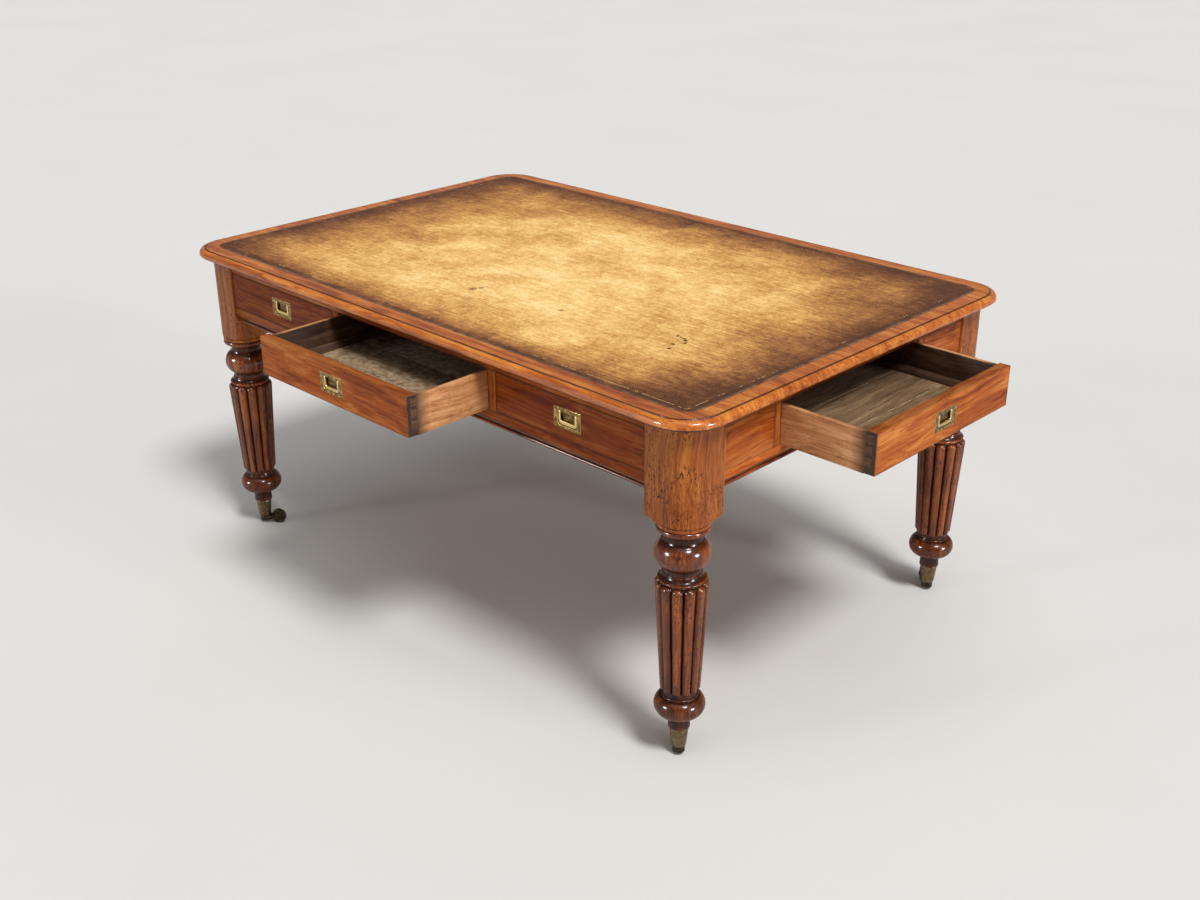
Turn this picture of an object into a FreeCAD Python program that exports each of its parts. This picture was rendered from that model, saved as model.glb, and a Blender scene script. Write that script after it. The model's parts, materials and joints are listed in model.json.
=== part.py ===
import FreeCAD, Part
import math
import os

# Partners desk: a leather-topped mahogany writing table with drawers on both long sides and both ends.
# Millimetres, +Z up. The origin is on the floor under the middle of the top.
# +X runs along the long side, and the front row of drawers faces -Y.

# Overall sizes
desk_height = 760.0
top_length = 1640.0
top_width = 1085.0
top_thickness = 22.0
top_corner_radius = 90.0

# Moulded edge of the top, measured in from the edge and down from the surface
quirk_inset = 15.0
quirk_width = 1.8
quirk_depth = 2.2
thumb_drop = 1.4
thumb_height = 10.6
edge_flat = 4.0
edge_step = 2.5
undercut_reach = 11.0
moulding_depth = 30.0
thumb_swell_shares = (0.25, 0.27)
undercut_hollow_shares = (0.30, 0.62)

# Leather writing surface
leather_border = 51.0
leather_corner_radius = 12.0
leather_thickness = 1.5
leather_fit = 0.2

# Leg blocks
leg_inset = 33.0
leg_block = 107.0
leg_block_corner_radius = 52.0
leg_block_height = 197.0
shoulder_height = 9.0

# Turned part of the legs, from the block down
neck_radius = 52.8
neck_height = 9.0
collar_height = 13.0
collar_quirk = 3.0
collar_swell = 0.6
upper_cove_height = 22.5
upper_cove_radius = 36.5
bulb_height = 53.5
bulb_radius = 54.7
bulb_end_radius = 40.0
lower_cove_height = 25.0
lower_cove_radius = 36.5
lower_ring_radius = 48.0
lower_ring_height = 6.0
column_top_radius = 54.0
column_bottom_radius = 40.5
reed_count = 12
reed_depth_share = 0.18
reed_top_round = 11.0
ankle_radius = 33.0
ankle_height = 12.5
foot_ring_radius = 37.5
foot_ring_height = 5.5
foot_bulb_top_radius = 41.0
foot_bulb_radius = 51.6
foot_bulb_end_radius = 26.0
foot_bulb_height = 45.0
foot_neck_radius = 22.4
foot_neck_height = 30.0

# Casters
cup_rim_height = 67.0
cup_rim_radius = 20.5
cup_base_height = 21.0
cup_base_radius = 15.0
cup_wall = 2.0
cup_floor = 7.0
cup_fit = 0.3
swivel_pin_radius = 4.0
swivel_gap = 0.3
running_clearance = 0.06
fork_boss_radius = 13.0
fork_boss_base_height = 7.0
fork_cheek = 3.0
fork_eye_radius = 7.0
fork_wheel_gap = 0.6
caster_trail = 38.0
wheel_radius = 19.0
wheel_width = 13.0
wheel_rim_round = 2.5
axle_radius = 2.6
axle_head_radius = 4.2
axle_head_height = 1.5
caster_angles = {"front_left": 34.0, "front_right": 135.0, "back_left": 80.0, "back_right": 135.0}

# Frame under the top
frieze_recess = 5.0
drawer_opening_height = 88.0
top_rail_height = 26.0
top_rail_depth = 40.0
bottom_rail_height = 20.0
bottom_rail_depth = 60.0
tenon_length = 30.0
tenon_thickness = 12.0
tenon_shoulder = 4.0
bead_height = 16.0
bead_depth = 22.0
bead_set_back = 3.0
bead_round = 3.6
bead_hollow = 5.0
middle_opening = 498.0
long_stile_width = 24.0
end_panel_width = 147.5
end_stile_width = 20.0
stile_depth = 60.0
end_panel_thickness = 22.0
runner_ledge = 24.0
side_runner_width = 40.0
side_guide_width = 14.0
end_guide_width = 13.0
guide_height = 30.0
guide_gap = 1.0
stop_length = 30.0
stop_width = 8.0
stop_height = 5.0
stop_spread_share = 0.30

# Buttons that hold the top
button_length = 40.0
button_width = 30.0
button_height = 14.0
button_tongue = 8.0
button_tongue_height = 6.0
button_screw_radius = 2.2
button_screw_head_radius = 4.4
button_screw_head_height = 2.5
button_screw_grip = 9.0
screw_clearance = 0.1
long_button_shares = (-0.62, -0.2, 0.2, 0.62)
end_button_shares = (-0.25, 0.25)

# Drawers
drawer_side_gap = 1.0
drawer_top_gap = 1.0
drawer_foot_gap = 0.8
drawer_back_gap = 24.0
drawer_front_thickness = 24.0
drawer_lap = 9.0
drawer_side_thickness = 9.0
drawer_side_drop = 4.0
drawer_back_thickness = 9.0
drawer_back_drop = 9.0
drawer_bottom_thickness = 7.0
drawer_bottom_rise = 8.0
drawer_groove = 4.0
slip_radius = 14.0
tail_count = 3
tail_narrow_share = 0.50
tail_wide_share = 0.68
lock_recess_width = 56.0
lock_recess_height = 34.0
lock_recess_depth = 5.0
middle_drawer_pull = 205.0
end_drawer_pull = 214.0

# Flush brass handles
plate_width = 73.0
plate_height = 42.0
plate_thickness = 2.2
dish_width = 52.0
dish_height = 29.0
dish_drop = 1.0
dish_depth = 8.2
dish_wall = 1.8
dish_corner_radius = 8.0
dish_pocket_gap = 0.6
bail_gap = 0.6
bail_bar = 6.5
bail_foot_bar = 8.5
bail_thickness = 5.0
bail_set_back = 0.6
bail_inner_radius = 3.0
bail_pin_radius = 1.5
plate_screw_radius = 1.2
plate_screw_head_radius = 2.4
plate_screw_head_height = 1.2
plate_screw_length = 9.0
plate_screw_margin = 5.5

# Cuts run past the material by this much
overrun = 5.0

# Heights and faces that several pieces share
half_length = top_length / 2
half_width = top_width / 2
top_underside = desk_height - top_thickness
opening_top = top_underside - top_rail_height
runner_top = opening_top - drawer_opening_height
rail_foot = runner_top - bottom_rail_height
bead_foot = rail_foot - bead_height
block_face_x = half_length - leg_inset
block_face_y = half_width - leg_inset
leg_x = block_face_x - leg_block / 2
leg_y = block_face_y - leg_block / 2
block_inner_x = block_face_x - leg_block
block_inner_y = block_face_y - leg_block
face_x = block_face_x - frieze_recess
face_y = block_face_y - frieze_recess
long_stile_inner = middle_opening / 2
long_stile_outer = long_stile_inner + long_stile_width
end_stile_outer = block_inner_y - end_panel_width
end_stile_inner = end_stile_outer - end_stile_width
end_opening = end_stile_inner * 2
cross_runner_inner = long_stile_inner - runner_ledge
cross_runner_outer = long_stile_outer + runner_ledge
end_runner_inner = end_stile_inner - runner_ledge
end_runner_outer = end_stile_outer + runner_ledge
rail_back_x = face_x - bottom_rail_depth
rail_back_y = face_y - bottom_rail_depth
side_drawer_opening = block_inner_x - long_stile_outer
side_drawer_middle = (block_inner_x + long_stile_outer) / 2

middle_drawer_depth = face_y - drawer_back_gap
side_drawer_depth = face_y - end_stile_outer
end_drawer_depth = face_x - long_stile_outer - drawer_back_gap

Z_AXIS = FreeCAD.Vector(0, 0, 1)
ORIGIN = FreeCAD.Vector(0, 0, 0)
LEGS = {"front_left": (-1, -1), "front_right": (1, -1), "back_left": (-1, 1), "back_right": (1, 1)}
LEG_TURNS = {"front_left": 180, "front_right": 270, "back_left": 90, "back_right": 0}


def vec(x, y, z):
    return FreeCAD.Vector(x, y, z)


def box(x_span, y_span, z_span):
    low = vec(min(x_span), min(y_span), min(z_span))
    size = vec(max(x_span), max(y_span), max(z_span)) - low
    return Part.makeBox(size.x, size.y, size.z, low)


def fuse_all(shapes):
    return shapes[0].multiFuse(shapes[1:]).removeSplitter()


def turned_about_z(shape, angle, place):
    copy = shape.copy()
    copy.rotate(ORIGIN, Z_AXIS, angle)
    copy.translate(place)
    return copy


def outline_face(steps, point):
    """A face from steps (a, b) for lines and (a, b, mid_a, mid_b) for arcs; point() places each pair."""
    edges = []
    last = steps[0]
    for step in steps[1:] + steps[:1]:
        start = point(last[0], last[1])
        end = point(step[0], step[1])
        if len(step) == 4:
            edges.append(Part.Arc(start, point(step[2], step[3]), end).toShape())
        else:
            edges.append(Part.LineSegment(start, end).toShape())
        last = step
    return Part.Face(Part.Wire(edges))


def turned(steps):
    """A solid turned about Z from an outline of (radius, height) steps."""
    return outline_face(steps, lambda r, z: vec(r, 0, z)).revolve(ORIGIN, Z_AXIS, 360)


def rounded_plate(length, width, radius, z_span):
    plate = box((-length / 2, length / 2), (-width / 2, width / 2), z_span)
    corners = [e for e in plate.Edges if abs(e.tangentAt(e.FirstParameter).z) > 0.5]
    return plate.makeFillet(radius, corners)


def four_ways(x_span, y_span, z_span):
    """The same block in all four quarters of the plan."""
    blocks = []
    for sx, sy in LEGS.values():
        blocks.append(box([sx * x for x in x_span], [sy * y for y in y_span], z_span))
    return blocks


def both_ends(x_span, y_span, z_span):
    return [box([s * x for x in x_span], y_span, z_span) for s in (-1, 1)]


def both_sides(x_span, y_span, z_span):
    return [box(x_span, [s * y for y in y_span], z_span) for s in (-1, 1)]


# Top board and leather

def edge_steps():
    """Section of the moulded edge: distance in from the edge, height."""
    thumb_top = desk_height - thumb_drop
    thumb_foot = thumb_top - thumb_height
    flat_foot = thumb_foot - edge_flat
    thumb_reach = quirk_inset - quirk_width / 2
    hollow_depth = flat_foot - top_underside
    hollow_reach = undercut_reach - edge_step
    return [
        (moulding_depth, desk_height),
        (quirk_inset + quirk_width / 2, desk_height),
        (quirk_inset, desk_height - quirk_depth),
        (thumb_reach, thumb_top),
        (0, thumb_foot,
         thumb_reach * thumb_swell_shares[0],
         thumb_top - thumb_height * thumb_swell_shares[1]),
        (0, flat_foot),
        (edge_step, flat_foot),
        (undercut_reach, top_underside,
         edge_step + hollow_reach * undercut_hollow_shares[0],
         flat_foot - hollow_depth * undercut_hollow_shares[1]),
        (moulding_depth, top_underside),
    ]


def top_board():
    run_x = half_length - top_corner_radius
    run_y = half_width - top_corner_radius
    steps = edge_steps()
    end_face = outline_face(steps, lambda d, z: vec(half_length - d, -run_y, z))
    long_face = outline_face(steps, lambda d, z: vec(-run_x, half_width - d, z))
    corner_face = outline_face(steps, lambda d, z: vec(top_corner_radius - d, 0, z))
    end_run = end_face.extrude(vec(0, run_y * 2, 0))
    long_run = long_face.extrude(vec(run_x * 2, 0, 0))
    corner = corner_face.revolve(ORIGIN, Z_AXIS, 90)
    pieces = [rounded_plate(top_length - moulding_depth * 2, top_width - moulding_depth * 2,
                            top_corner_radius - moulding_depth, (top_underside, desk_height))]
    for turn in (0, 180):
        pieces.append(turned_about_z(end_run, turn, ORIGIN))
        pieces.append(turned_about_z(long_run, turn, ORIGIN))
    for name, (sx, sy) in LEGS.items():
        pieces.append(turned_about_z(corner, LEG_TURNS[name], vec(sx * run_x, sy * run_y, 0)))
    recess = rounded_plate(top_length - leather_border * 2, top_width - leather_border * 2,
                           leather_corner_radius, (desk_height - leather_thickness, desk_height + overrun))
    return fuse_all(pieces).cut(recess)


def leather_inset():
    inset = (leather_border + leather_fit) * 2
    return rounded_plate(top_length - inset, top_width - inset, leather_corner_radius - leather_fit,
                         (desk_height - leather_thickness, desk_height))


# Rails, beads, stiles and panels

def rail_along_x(half_span, y_span, z_span):
    """A rail with a tenon on each end; half_span is to its shoulders."""
    middle = sum(y_span) / 2
    rail = box((-half_span, half_span), y_span, z_span)
    reach = half_span + tenon_length
    tenon_y = (middle - tenon_thickness / 2, middle + tenon_thickness / 2)
    tenon = box((-reach, reach), tenon_y, (z_span[0] + tenon_shoulder, z_span[1] - tenon_shoulder))
    return rail.fuse(tenon).removeSplitter()


def frame_rails(depth, z_span):
    """Two long rails and two end rails at one height."""
    rails = []
    long_rail = rail_along_x(block_inner_x, (face_y - depth, face_y), z_span)
    end_rail = rail_along_x(block_inner_y, (face_x - depth, face_x), z_span)
    for turn in (0, 180):
        rails.append(turned_about_z(long_rail, turn, ORIGIN))
        rails.append(turned_about_z(end_rail, turn + 90, ORIGIN))
    return rails


def bead_steps(face):
    """Section of the bead under a rail: a hollow above a small round."""
    front = face - bead_set_back
    round_top = bead_foot + bead_round * 2
    return [
        (front - bead_depth, bead_foot),
        (front - bead_round, bead_foot),
        (front - bead_round, round_top, front, bead_foot + bead_round),
        (front - bead_hollow, round_top),
        (front - bead_hollow, rail_foot),
        (front - bead_depth, rail_foot),
    ]


def base_beads():
    long_bead = outline_face(bead_steps(face_y), lambda d, z: vec(-block_inner_x, d, z))
    long_bead = long_bead.extrude(vec(block_inner_x * 2, 0, 0))
    end_bead = outline_face(bead_steps(face_x), lambda d, z: vec(d, -block_inner_y, z))
    end_bead = end_bead.extrude(vec(0, block_inner_y * 2, 0))
    return [turned_about_z(bead, turn, ORIGIN) for bead in (long_bead, end_bead) for turn in (0, 180)]


def long_stiles():
    return four_ways((long_stile_inner, long_stile_outer), (face_y - stile_depth, face_y),
                     (runner_top, opening_top))


def end_stiles():
    return four_ways((face_x - stile_depth, face_x), (end_stile_inner, end_stile_outer),
                     (runner_top, opening_top))


def end_panels():
    return four_ways((face_x - end_panel_thickness, face_x), (end_stile_outer, block_inner_y),
                     (runner_top, opening_top))


# Runners, guides, kickers and stops

def drawer_runners():
    height = (rail_foot, runner_top)
    cross = both_ends((cross_runner_inner, cross_runner_outer), (-rail_back_y, rail_back_y), height)
    ends = four_ways((cross_runner_outer, rail_back_x), (end_runner_inner, end_runner_outer), height)
    side_x = (block_inner_x - runner_ledge, block_inner_x - runner_ledge + side_runner_width)
    sides = four_ways(side_x, (end_runner_outer, rail_back_y), height)
    notches = four_ways((block_inner_x, block_face_x), (block_inner_y, block_face_y), height)
    notched = [side.cut(notch) for side, notch in zip(sides, notches)]
    return cross + ends + notched


def drawer_guides():
    height = (runner_top, runner_top + guide_height)
    guide_x = (long_stile_inner + guide_gap, long_stile_outer - guide_gap)
    stile_back = face_y - stile_depth
    cross = both_ends(guide_x, (-stile_back, stile_back), height)
    end_guide_y = (end_stile_inner, end_stile_inner + end_guide_width)
    ends = four_ways((cross_runner_outer, face_x - stile_depth), end_guide_y, height)
    side_x = (block_inner_x, block_inner_x + side_guide_width)
    sides = four_ways(side_x, (end_runner_outer, block_inner_y), height)
    return cross + ends + sides


def drawer_kickers():
    height = (opening_top, top_underside)
    back_y = face_y - top_rail_depth
    back_x = face_x - top_rail_depth
    cross = both_ends((cross_runner_inner, cross_runner_outer), (-back_y, back_y), height)
    ends = four_ways((cross_runner_outer, back_x), (end_runner_inner, end_runner_outer), height)
    return cross + ends


def drawer_stops():
    """Two small blocks behind each drawer front, standing on the bottom rail."""
    stops = []
    for drawer in DRAWERS.values():
        spread = drawer["opening"] * stop_spread_share
        for side in (-1, 1):
            middle = side * spread
            stop = box((middle - stop_length / 2, middle + stop_length / 2),
                       (drawer_front_thickness, drawer_front_thickness + stop_width),
                       (runner_top, runner_top + stop_height))
            stops.append(turned_about_z(stop, drawer["turn"], drawer["closed"]))
    return stops


# Buttons that hold the top to the top rails

def button_places():
    """Where a rail's inner face carries a button, and the turn that faces the button to the rail."""
    places = []
    for share in long_button_shares:
        along = share * block_inner_x
        places.append((vec(along, face_y - top_rail_depth, 0), 0))
        places.append((vec(along, top_rail_depth - face_y, 0), 180))
    for share in end_button_shares:
        along = share * block_inner_y
        places.append((vec(face_x - top_rail_depth, along, 0), 270))
        places.append((vec(top_rail_depth - face_x, along, 0), 90))
    return places


def button_block():
    body = box((-button_length / 2, button_length / 2), (-button_width, 0),
               (top_underside - button_height, top_underside))
    foot = top_underside - button_height
    tongue = box((-button_length / 2, button_length / 2), (0, button_tongue),
                 (foot, foot + button_tongue_height))
    return body.fuse(tongue).removeSplitter()


def button_screw(gap):
    """A screw up through a button into the top; gap widens it into its hole."""
    head_foot = top_underside - button_height
    neck = head_foot + button_screw_head_height + gap
    tip = top_underside + button_screw_grip + gap
    screw = turned([(0, head_foot), (button_screw_head_radius + gap, head_foot),
                    (button_screw_radius + gap, neck), (button_screw_radius + gap, tip), (0, tip)])
    screw.translate(vec(0, -button_width / 2, 0))
    return screw


def placed_buttons(shape):
    return [turned_about_z(shape, turn, place) for place, turn in button_places()]


# Legs

def reed_wire(radius, height):
    """One ring of reeds: each reed is an arc that stands out between two grooves."""
    groove = radius * (1 - reed_depth_share)
    step = 2 * math.pi / reed_count
    edges = []
    for reed in range(reed_count):
        angles = [(reed + shift) * step for shift in (-0.5, 0, 0.5)]
        points = [vec(r * math.cos(a), r * math.sin(a), height)
                  for r, a in zip((groove, radius, groove), angles)]
        edges.append(Part.Arc(*points).toShape())
    return Part.Wire(edges)


def reeded_column(foot, top):
    rings = [reed_wire(column_bottom_radius, foot), reed_wire(column_top_radius, top)]
    column = Part.makeLoft(rings, True, True)
    slope = (column_top_radius - column_bottom_radius) / (top - foot)
    round_foot = top - reed_top_round
    round_radius = column_top_radius - slope * reed_top_round
    shoulder_radius = column_top_radius - reed_top_round
    bulge = reed_top_round * math.sqrt(0.5)
    envelope = turned([
        (0, foot), (column_bottom_radius + overrun, foot), (column_top_radius + overrun, round_foot),
        (round_radius, round_foot),
        (shoulder_radius, top, shoulder_radius + bulge, round_foot + bulge),
        (0, top)])
    return column.common(envelope)


def leg():
    """One leg standing on the Z axis with its rounded outer corner towards +X +Y."""
    block_foot = top_underside - leg_block_height
    neck_top = block_foot - shoulder_height
    collar_top = neck_top - neck_height
    collar_foot = collar_top - collar_height
    bulb_top = collar_foot - upper_cove_height
    bulb_foot = bulb_top - bulb_height
    ring_top = bulb_foot - lower_cove_height
    column_top = ring_top - lower_ring_height
    foot_bulb_foot = cup_rim_height + foot_neck_height
    foot_bulb_top = foot_bulb_foot + foot_bulb_height
    foot_ring_top = foot_bulb_top + foot_ring_height
    column_foot = foot_ring_top + ankle_height
    half = leg_block / 2
    reach = leg_block * math.sqrt(0.5)

    block = box((-half, half), (-half, half), (neck_top, top_underside))
    outer = [e for e in block.Edges if min(min(v.X, v.Y) for v in e.Vertexes) > 0]
    block = block.makeFillet(leg_block_corner_radius, outer)
    block = block.common(turned([(0, neck_top), (neck_radius, neck_top), (reach, block_foot),
                                 (reach, top_underside), (0, top_underside)]))

    collar_waist = neck_radius - collar_quirk
    upper = turned([
        (0, column_top), (lower_ring_radius, column_top),
        (lower_ring_radius, ring_top),
        (bulb_end_radius, bulb_foot, lower_cove_radius, (ring_top + bulb_foot) / 2),
        (bulb_end_radius, bulb_top, bulb_radius, (bulb_top + bulb_foot) / 2),
        (bulb_end_radius, collar_foot, upper_cove_radius, (bulb_top + collar_foot) / 2),
        (collar_waist, collar_foot),
        (collar_waist, collar_top, neck_radius + collar_swell, (collar_top + collar_foot) / 2),
        (neck_radius, collar_top),
        (neck_radius, neck_top),
        (0, neck_top)])

    rim_radius = cup_rim_radius - cup_wall - cup_fit
    neck_seat = cup_rim_height + cup_fit
    dowel_foot = cup_base_height + cup_floor
    dowel_radius = cup_radius(dowel_foot) - cup_wall - cup_fit
    lower = turned([
        (0, dowel_foot), (dowel_radius, dowel_foot),
        (rim_radius, neck_seat),
        (foot_neck_radius, neck_seat),
        (foot_neck_radius, foot_bulb_foot),
        (foot_bulb_end_radius, foot_bulb_foot),
        (foot_bulb_top_radius, foot_bulb_top, foot_bulb_radius, (foot_bulb_foot + foot_bulb_top) / 2),
        (foot_ring_radius, foot_bulb_top),
        (foot_ring_radius, foot_ring_top),
        (ankle_radius, foot_ring_top),
        (ankle_radius, column_foot),
        (0, column_foot)])
    return fuse_all([block, upper, reeded_column(column_foot, column_top), lower])


# Casters, built on the Z axis and trailing along +X

def cup_radius(height):
    share = (height - cup_base_height) / (cup_rim_height - cup_base_height)
    return cup_base_radius + (cup_rim_radius - cup_base_radius) * share


def caster_cup():
    floor_top = cup_base_height + cup_floor
    hole = swivel_pin_radius + running_clearance
    return turned([
        (hole, cup_base_height), (cup_base_radius, cup_base_height),
        (cup_rim_radius, cup_rim_height), (cup_rim_radius - cup_wall, cup_rim_height),
        (cup_radius(floor_top) - cup_wall, floor_top), (hole, floor_top)])


def along_y(shape_radius, half_span, x, z):
    return Part.makeCylinder(shape_radius, half_span * 2, vec(x, -half_span, z), vec(0, 1, 0))


def caster_fork():
    boss_top = cup_base_height - swivel_gap
    pin_top = cup_base_height + cup_floor - swivel_gap
    inner = wheel_width / 2 + fork_wheel_gap
    outer = inner + fork_cheek
    fork = turned([(0, fork_boss_base_height), (fork_boss_radius, fork_boss_base_height),
                   (fork_boss_radius, boss_top), (swivel_pin_radius, boss_top),
                   (swivel_pin_radius, pin_top), (0, pin_top)])
    cheek_face = outline_face([
        (0, fork_boss_base_height), (caster_trail, wheel_radius - fork_eye_radius),
        (caster_trail, wheel_radius + fork_eye_radius, caster_trail + fork_eye_radius, wheel_radius),
        (cup_base_radius + fork_cheek, boss_top),
        (0, boss_top)], lambda x, z: vec(x, inner, z))
    cheek = cheek_face.extrude(vec(0, fork_cheek, 0))
    far_cheek = cheek.copy()
    far_cheek.translate(vec(0, -inner - outer, 0))
    fork = fuse_all([fork, cheek, far_cheek])
    fork = fork.cut(along_y(axle_radius + running_clearance, outer + overrun, caster_trail, wheel_radius))
    axle = along_y(axle_radius, outer + axle_head_height, caster_trail, wheel_radius)
    for side in (-1, 1):
        head = Part.makeCylinder(axle_head_radius, axle_head_height,
                                 vec(caster_trail, side * outer, wheel_radius), vec(0, side, 0))
        axle = axle.fuse(head)
    return Part.makeCompound([fork, axle.removeSplitter()])


def caster_wheel():
    half = wheel_width / 2
    shoulder = wheel_radius - wheel_rim_round
    bore = axle_radius + running_clearance
    bulge = wheel_rim_round * math.sqrt(0.5)
    wheel = turned([
        (bore, -half), (shoulder, -half),
        (wheel_radius, wheel_rim_round - half, shoulder + bulge, wheel_rim_round - half - bulge),
        (wheel_radius, half - wheel_rim_round),
        (shoulder, half, shoulder + bulge, half - wheel_rim_round + bulge),
        (bore, half)])
    wheel.rotate(ORIGIN, vec(1, 0, 0), 90)
    wheel.translate(vec(caster_trail, 0, wheel_radius))
    return wheel


# Drawers, built with the closed front's face on the X axis, facing -Y

DRAWERS = {
    "front_left": dict(opening=side_drawer_opening, depth=side_drawer_depth, turn=0, pull=0,
                       closed=vec(-side_drawer_middle, -face_y, 0), out=vec(0, -1, 0), lock_recess=False),
    "front_middle": dict(opening=middle_opening, depth=middle_drawer_depth, turn=0, pull=middle_drawer_pull,
                         closed=vec(0, -face_y, 0), out=vec(0, -1, 0), lock_recess=False),
    "front_right": dict(opening=side_drawer_opening, depth=side_drawer_depth, turn=0, pull=0,
                        closed=vec(side_drawer_middle, -face_y, 0), out=vec(0, -1, 0), lock_recess=False),
    "back_left": dict(opening=side_drawer_opening, depth=side_drawer_depth, turn=180, pull=0,
                      closed=vec(-side_drawer_middle, face_y, 0), out=vec(0, 1, 0), lock_recess=False),
    "back_middle": dict(opening=middle_opening, depth=middle_drawer_depth, turn=180, pull=0,
                        closed=vec(0, face_y, 0), out=vec(0, 1, 0), lock_recess=False),
    "back_right": dict(opening=side_drawer_opening, depth=side_drawer_depth, turn=180, pull=0,
                       closed=vec(side_drawer_middle, face_y, 0), out=vec(0, 1, 0), lock_recess=False),
    "left_end": dict(opening=end_opening, depth=end_drawer_depth, turn=270, pull=0,
                     closed=vec(-face_x, 0, 0), out=vec(-1, 0, 0), lock_recess=True),
    "right_end": dict(opening=end_opening, depth=end_drawer_depth, turn=90, pull=end_drawer_pull,
                      closed=vec(face_x, 0, 0), out=vec(1, 0, 0), lock_recess=True),
}

front_foot = runner_top + drawer_foot_gap
front_top = opening_top - drawer_top_gap
side_top = front_top - drawer_side_drop
bottom_foot = runner_top + drawer_bottom_rise
bottom_top = bottom_foot + drawer_bottom_thickness
handle_middle = (front_foot + front_top) / 2
dish_middle = handle_middle - dish_drop
dish_top = dish_middle + dish_height / 2
dish_foot = dish_middle - dish_height / 2
bail_axis_depth = bail_set_back + bail_thickness / 2
bail_axis_height = dish_top - bail_gap - bail_thickness / 2


def side_tails(outer, side):
    """Dovetails on the front end of a drawer side, lapped by the drawer front."""
    pitch = (side_top - bottom_top) / tail_count
    tails = []
    for tail in range(tail_count):
        middle = bottom_top + (tail + 0.5) * pitch
        wide = pitch * tail_wide_share / 2
        narrow = pitch * tail_narrow_share / 2
        face = outline_face([
            (drawer_lap, middle - wide), (drawer_front_thickness, middle - narrow),
            (drawer_front_thickness, middle + narrow), (drawer_lap, middle + wide)],
            lambda y, z: vec(side * outer, y, z))
        tails.append(face.extrude(vec(-side * drawer_side_thickness, 0, 0)))
    return tails


def plate_screw_places():
    x = plate_width / 2 - plate_screw_margin
    z = plate_height / 2 - plate_screw_margin
    return [(sx * x, handle_middle + sz * z) for sx in (-1, 1) for sz in (-1, 1)]


def plate_screw(gap):
    """A handle screw along Y from the face; gap widens it into its hole."""
    length = plate_screw_length + gap
    head = Part.makeCylinder(plate_screw_head_radius + gap, plate_screw_head_height, ORIGIN, vec(0, 1, 0))
    shank = Part.makeCylinder(plate_screw_radius + gap, length, ORIGIN, vec(0, 1, 0))
    return head.fuse(shank).removeSplitter()


def placed_screws(gap):
    screws = []
    for x, z in plate_screw_places():
        screw = plate_screw(gap)
        screw.translate(vec(x, 0, z))
        screws.append(screw)
    return screws


def dish_outline(inset, y_span):
    """The dish: square at the top, round at the two lower corners; a negative inset grows it."""
    low = dish_foot + inset
    high = dish_top - inset
    half = dish_width / 2 - inset
    block = box((-half, half), y_span, (low, high))
    lower = [e for e in block.Edges
             if abs(e.tangentAt(e.FirstParameter).y) > 0.5 and e.CenterOfMass.z < dish_middle]
    return block.makeFillet(dish_corner_radius - inset, lower)


def along_x(radius, x_span):
    return Part.makeCylinder(radius, x_span[1] - x_span[0], vec(x_span[0], bail_axis_depth, bail_axis_height),
                             vec(1, 0, 0))


def handle_plate():
    half = plate_width / 2
    height = (handle_middle - plate_height / 2, handle_middle + plate_height / 2)
    plate = box((-half, half), (0, plate_thickness), height)
    shell = dish_outline(-dish_wall, (0, dish_depth))
    hollow = dish_outline(0, (-overrun, dish_depth - dish_wall))
    reach = dish_width / 2 + dish_wall + overrun
    pin_hole = along_x(bail_pin_radius + running_clearance, (-reach, reach))
    plate = plate.fuse(shell).removeSplitter().cut(hollow).cut(pin_hole)
    for hole in placed_screws(screw_clearance):
        plate = plate.cut(hole)
    return Part.makeCompound([plate] + placed_screws(0))


def handle_bail():
    """A U shaped bail with a pin at the top of each arm."""
    y_span = (bail_set_back, bail_set_back + bail_thickness)
    bar = dish_outline(bail_gap, y_span)
    outer_half = dish_width / 2 - bail_gap
    inner_half = outer_half - bail_bar
    opening_low = dish_foot + bail_gap + bail_foot_bar
    opening = box((-inner_half, inner_half), (-overrun, dish_depth), (opening_low, dish_top + overrun))
    lower = [e for e in opening.Edges
             if abs(e.tangentAt(e.FirstParameter).y) > 0.5 and e.CenterOfMass.z < dish_middle]
    bail = bar.cut(opening.makeFillet(bail_inner_radius, lower))
    top_trim = box((-dish_width, dish_width), (-overrun, dish_depth), (bail_axis_height, dish_top))
    bail = bail.cut(top_trim)
    pieces = [bail]
    for side in (-1, 1):
        arm = sorted((side * inner_half, side * outer_half))
        pin = sorted((side * inner_half, side * (dish_width / 2 + dish_wall)))
        pieces.append(along_x(bail_thickness / 2, arm))
        pieces.append(along_x(bail_pin_radius, pin))
    return fuse_all(pieces)


def drawer_bottom(width, depth):
    inner = width / 2 - drawer_side_thickness + drawer_groove
    return box((-inner, inner), (drawer_front_thickness - drawer_groove, depth), (bottom_foot, bottom_top))


def lock_recess():
    """The empty lock bed behind the front's top edge."""
    half = lock_recess_width / 2
    inner_face = drawer_front_thickness
    return box((-half, half), (inner_face - lock_recess_depth, inner_face + overrun),
               (front_top - lock_recess_height, front_top + overrun))


def drawer_front(width, depth, has_lock_recess):
    half = width / 2
    front = box((-half, half), (0, drawer_front_thickness), (front_foot, front_top))
    for side in (-1, 1):
        for tail in side_tails(half, side):
            front = front.cut(tail)
    front = front.cut(drawer_bottom(width, depth))
    plate_half = plate_width / 2
    front = front.cut(box((-plate_half, plate_half), (0, plate_thickness),
                          (handle_middle - plate_height / 2, handle_middle + plate_height / 2)))
    pocket = dish_width / 2 + dish_wall + dish_pocket_gap
    front = front.cut(box((-pocket, pocket), (0, dish_depth + dish_pocket_gap),
                          (dish_foot - dish_wall - dish_pocket_gap, dish_top + dish_wall + dish_pocket_gap)))
    for hole in placed_screws(screw_clearance):
        front = front.cut(hole)
    if has_lock_recess:
        front = front.cut(lock_recess())
    return front


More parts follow.
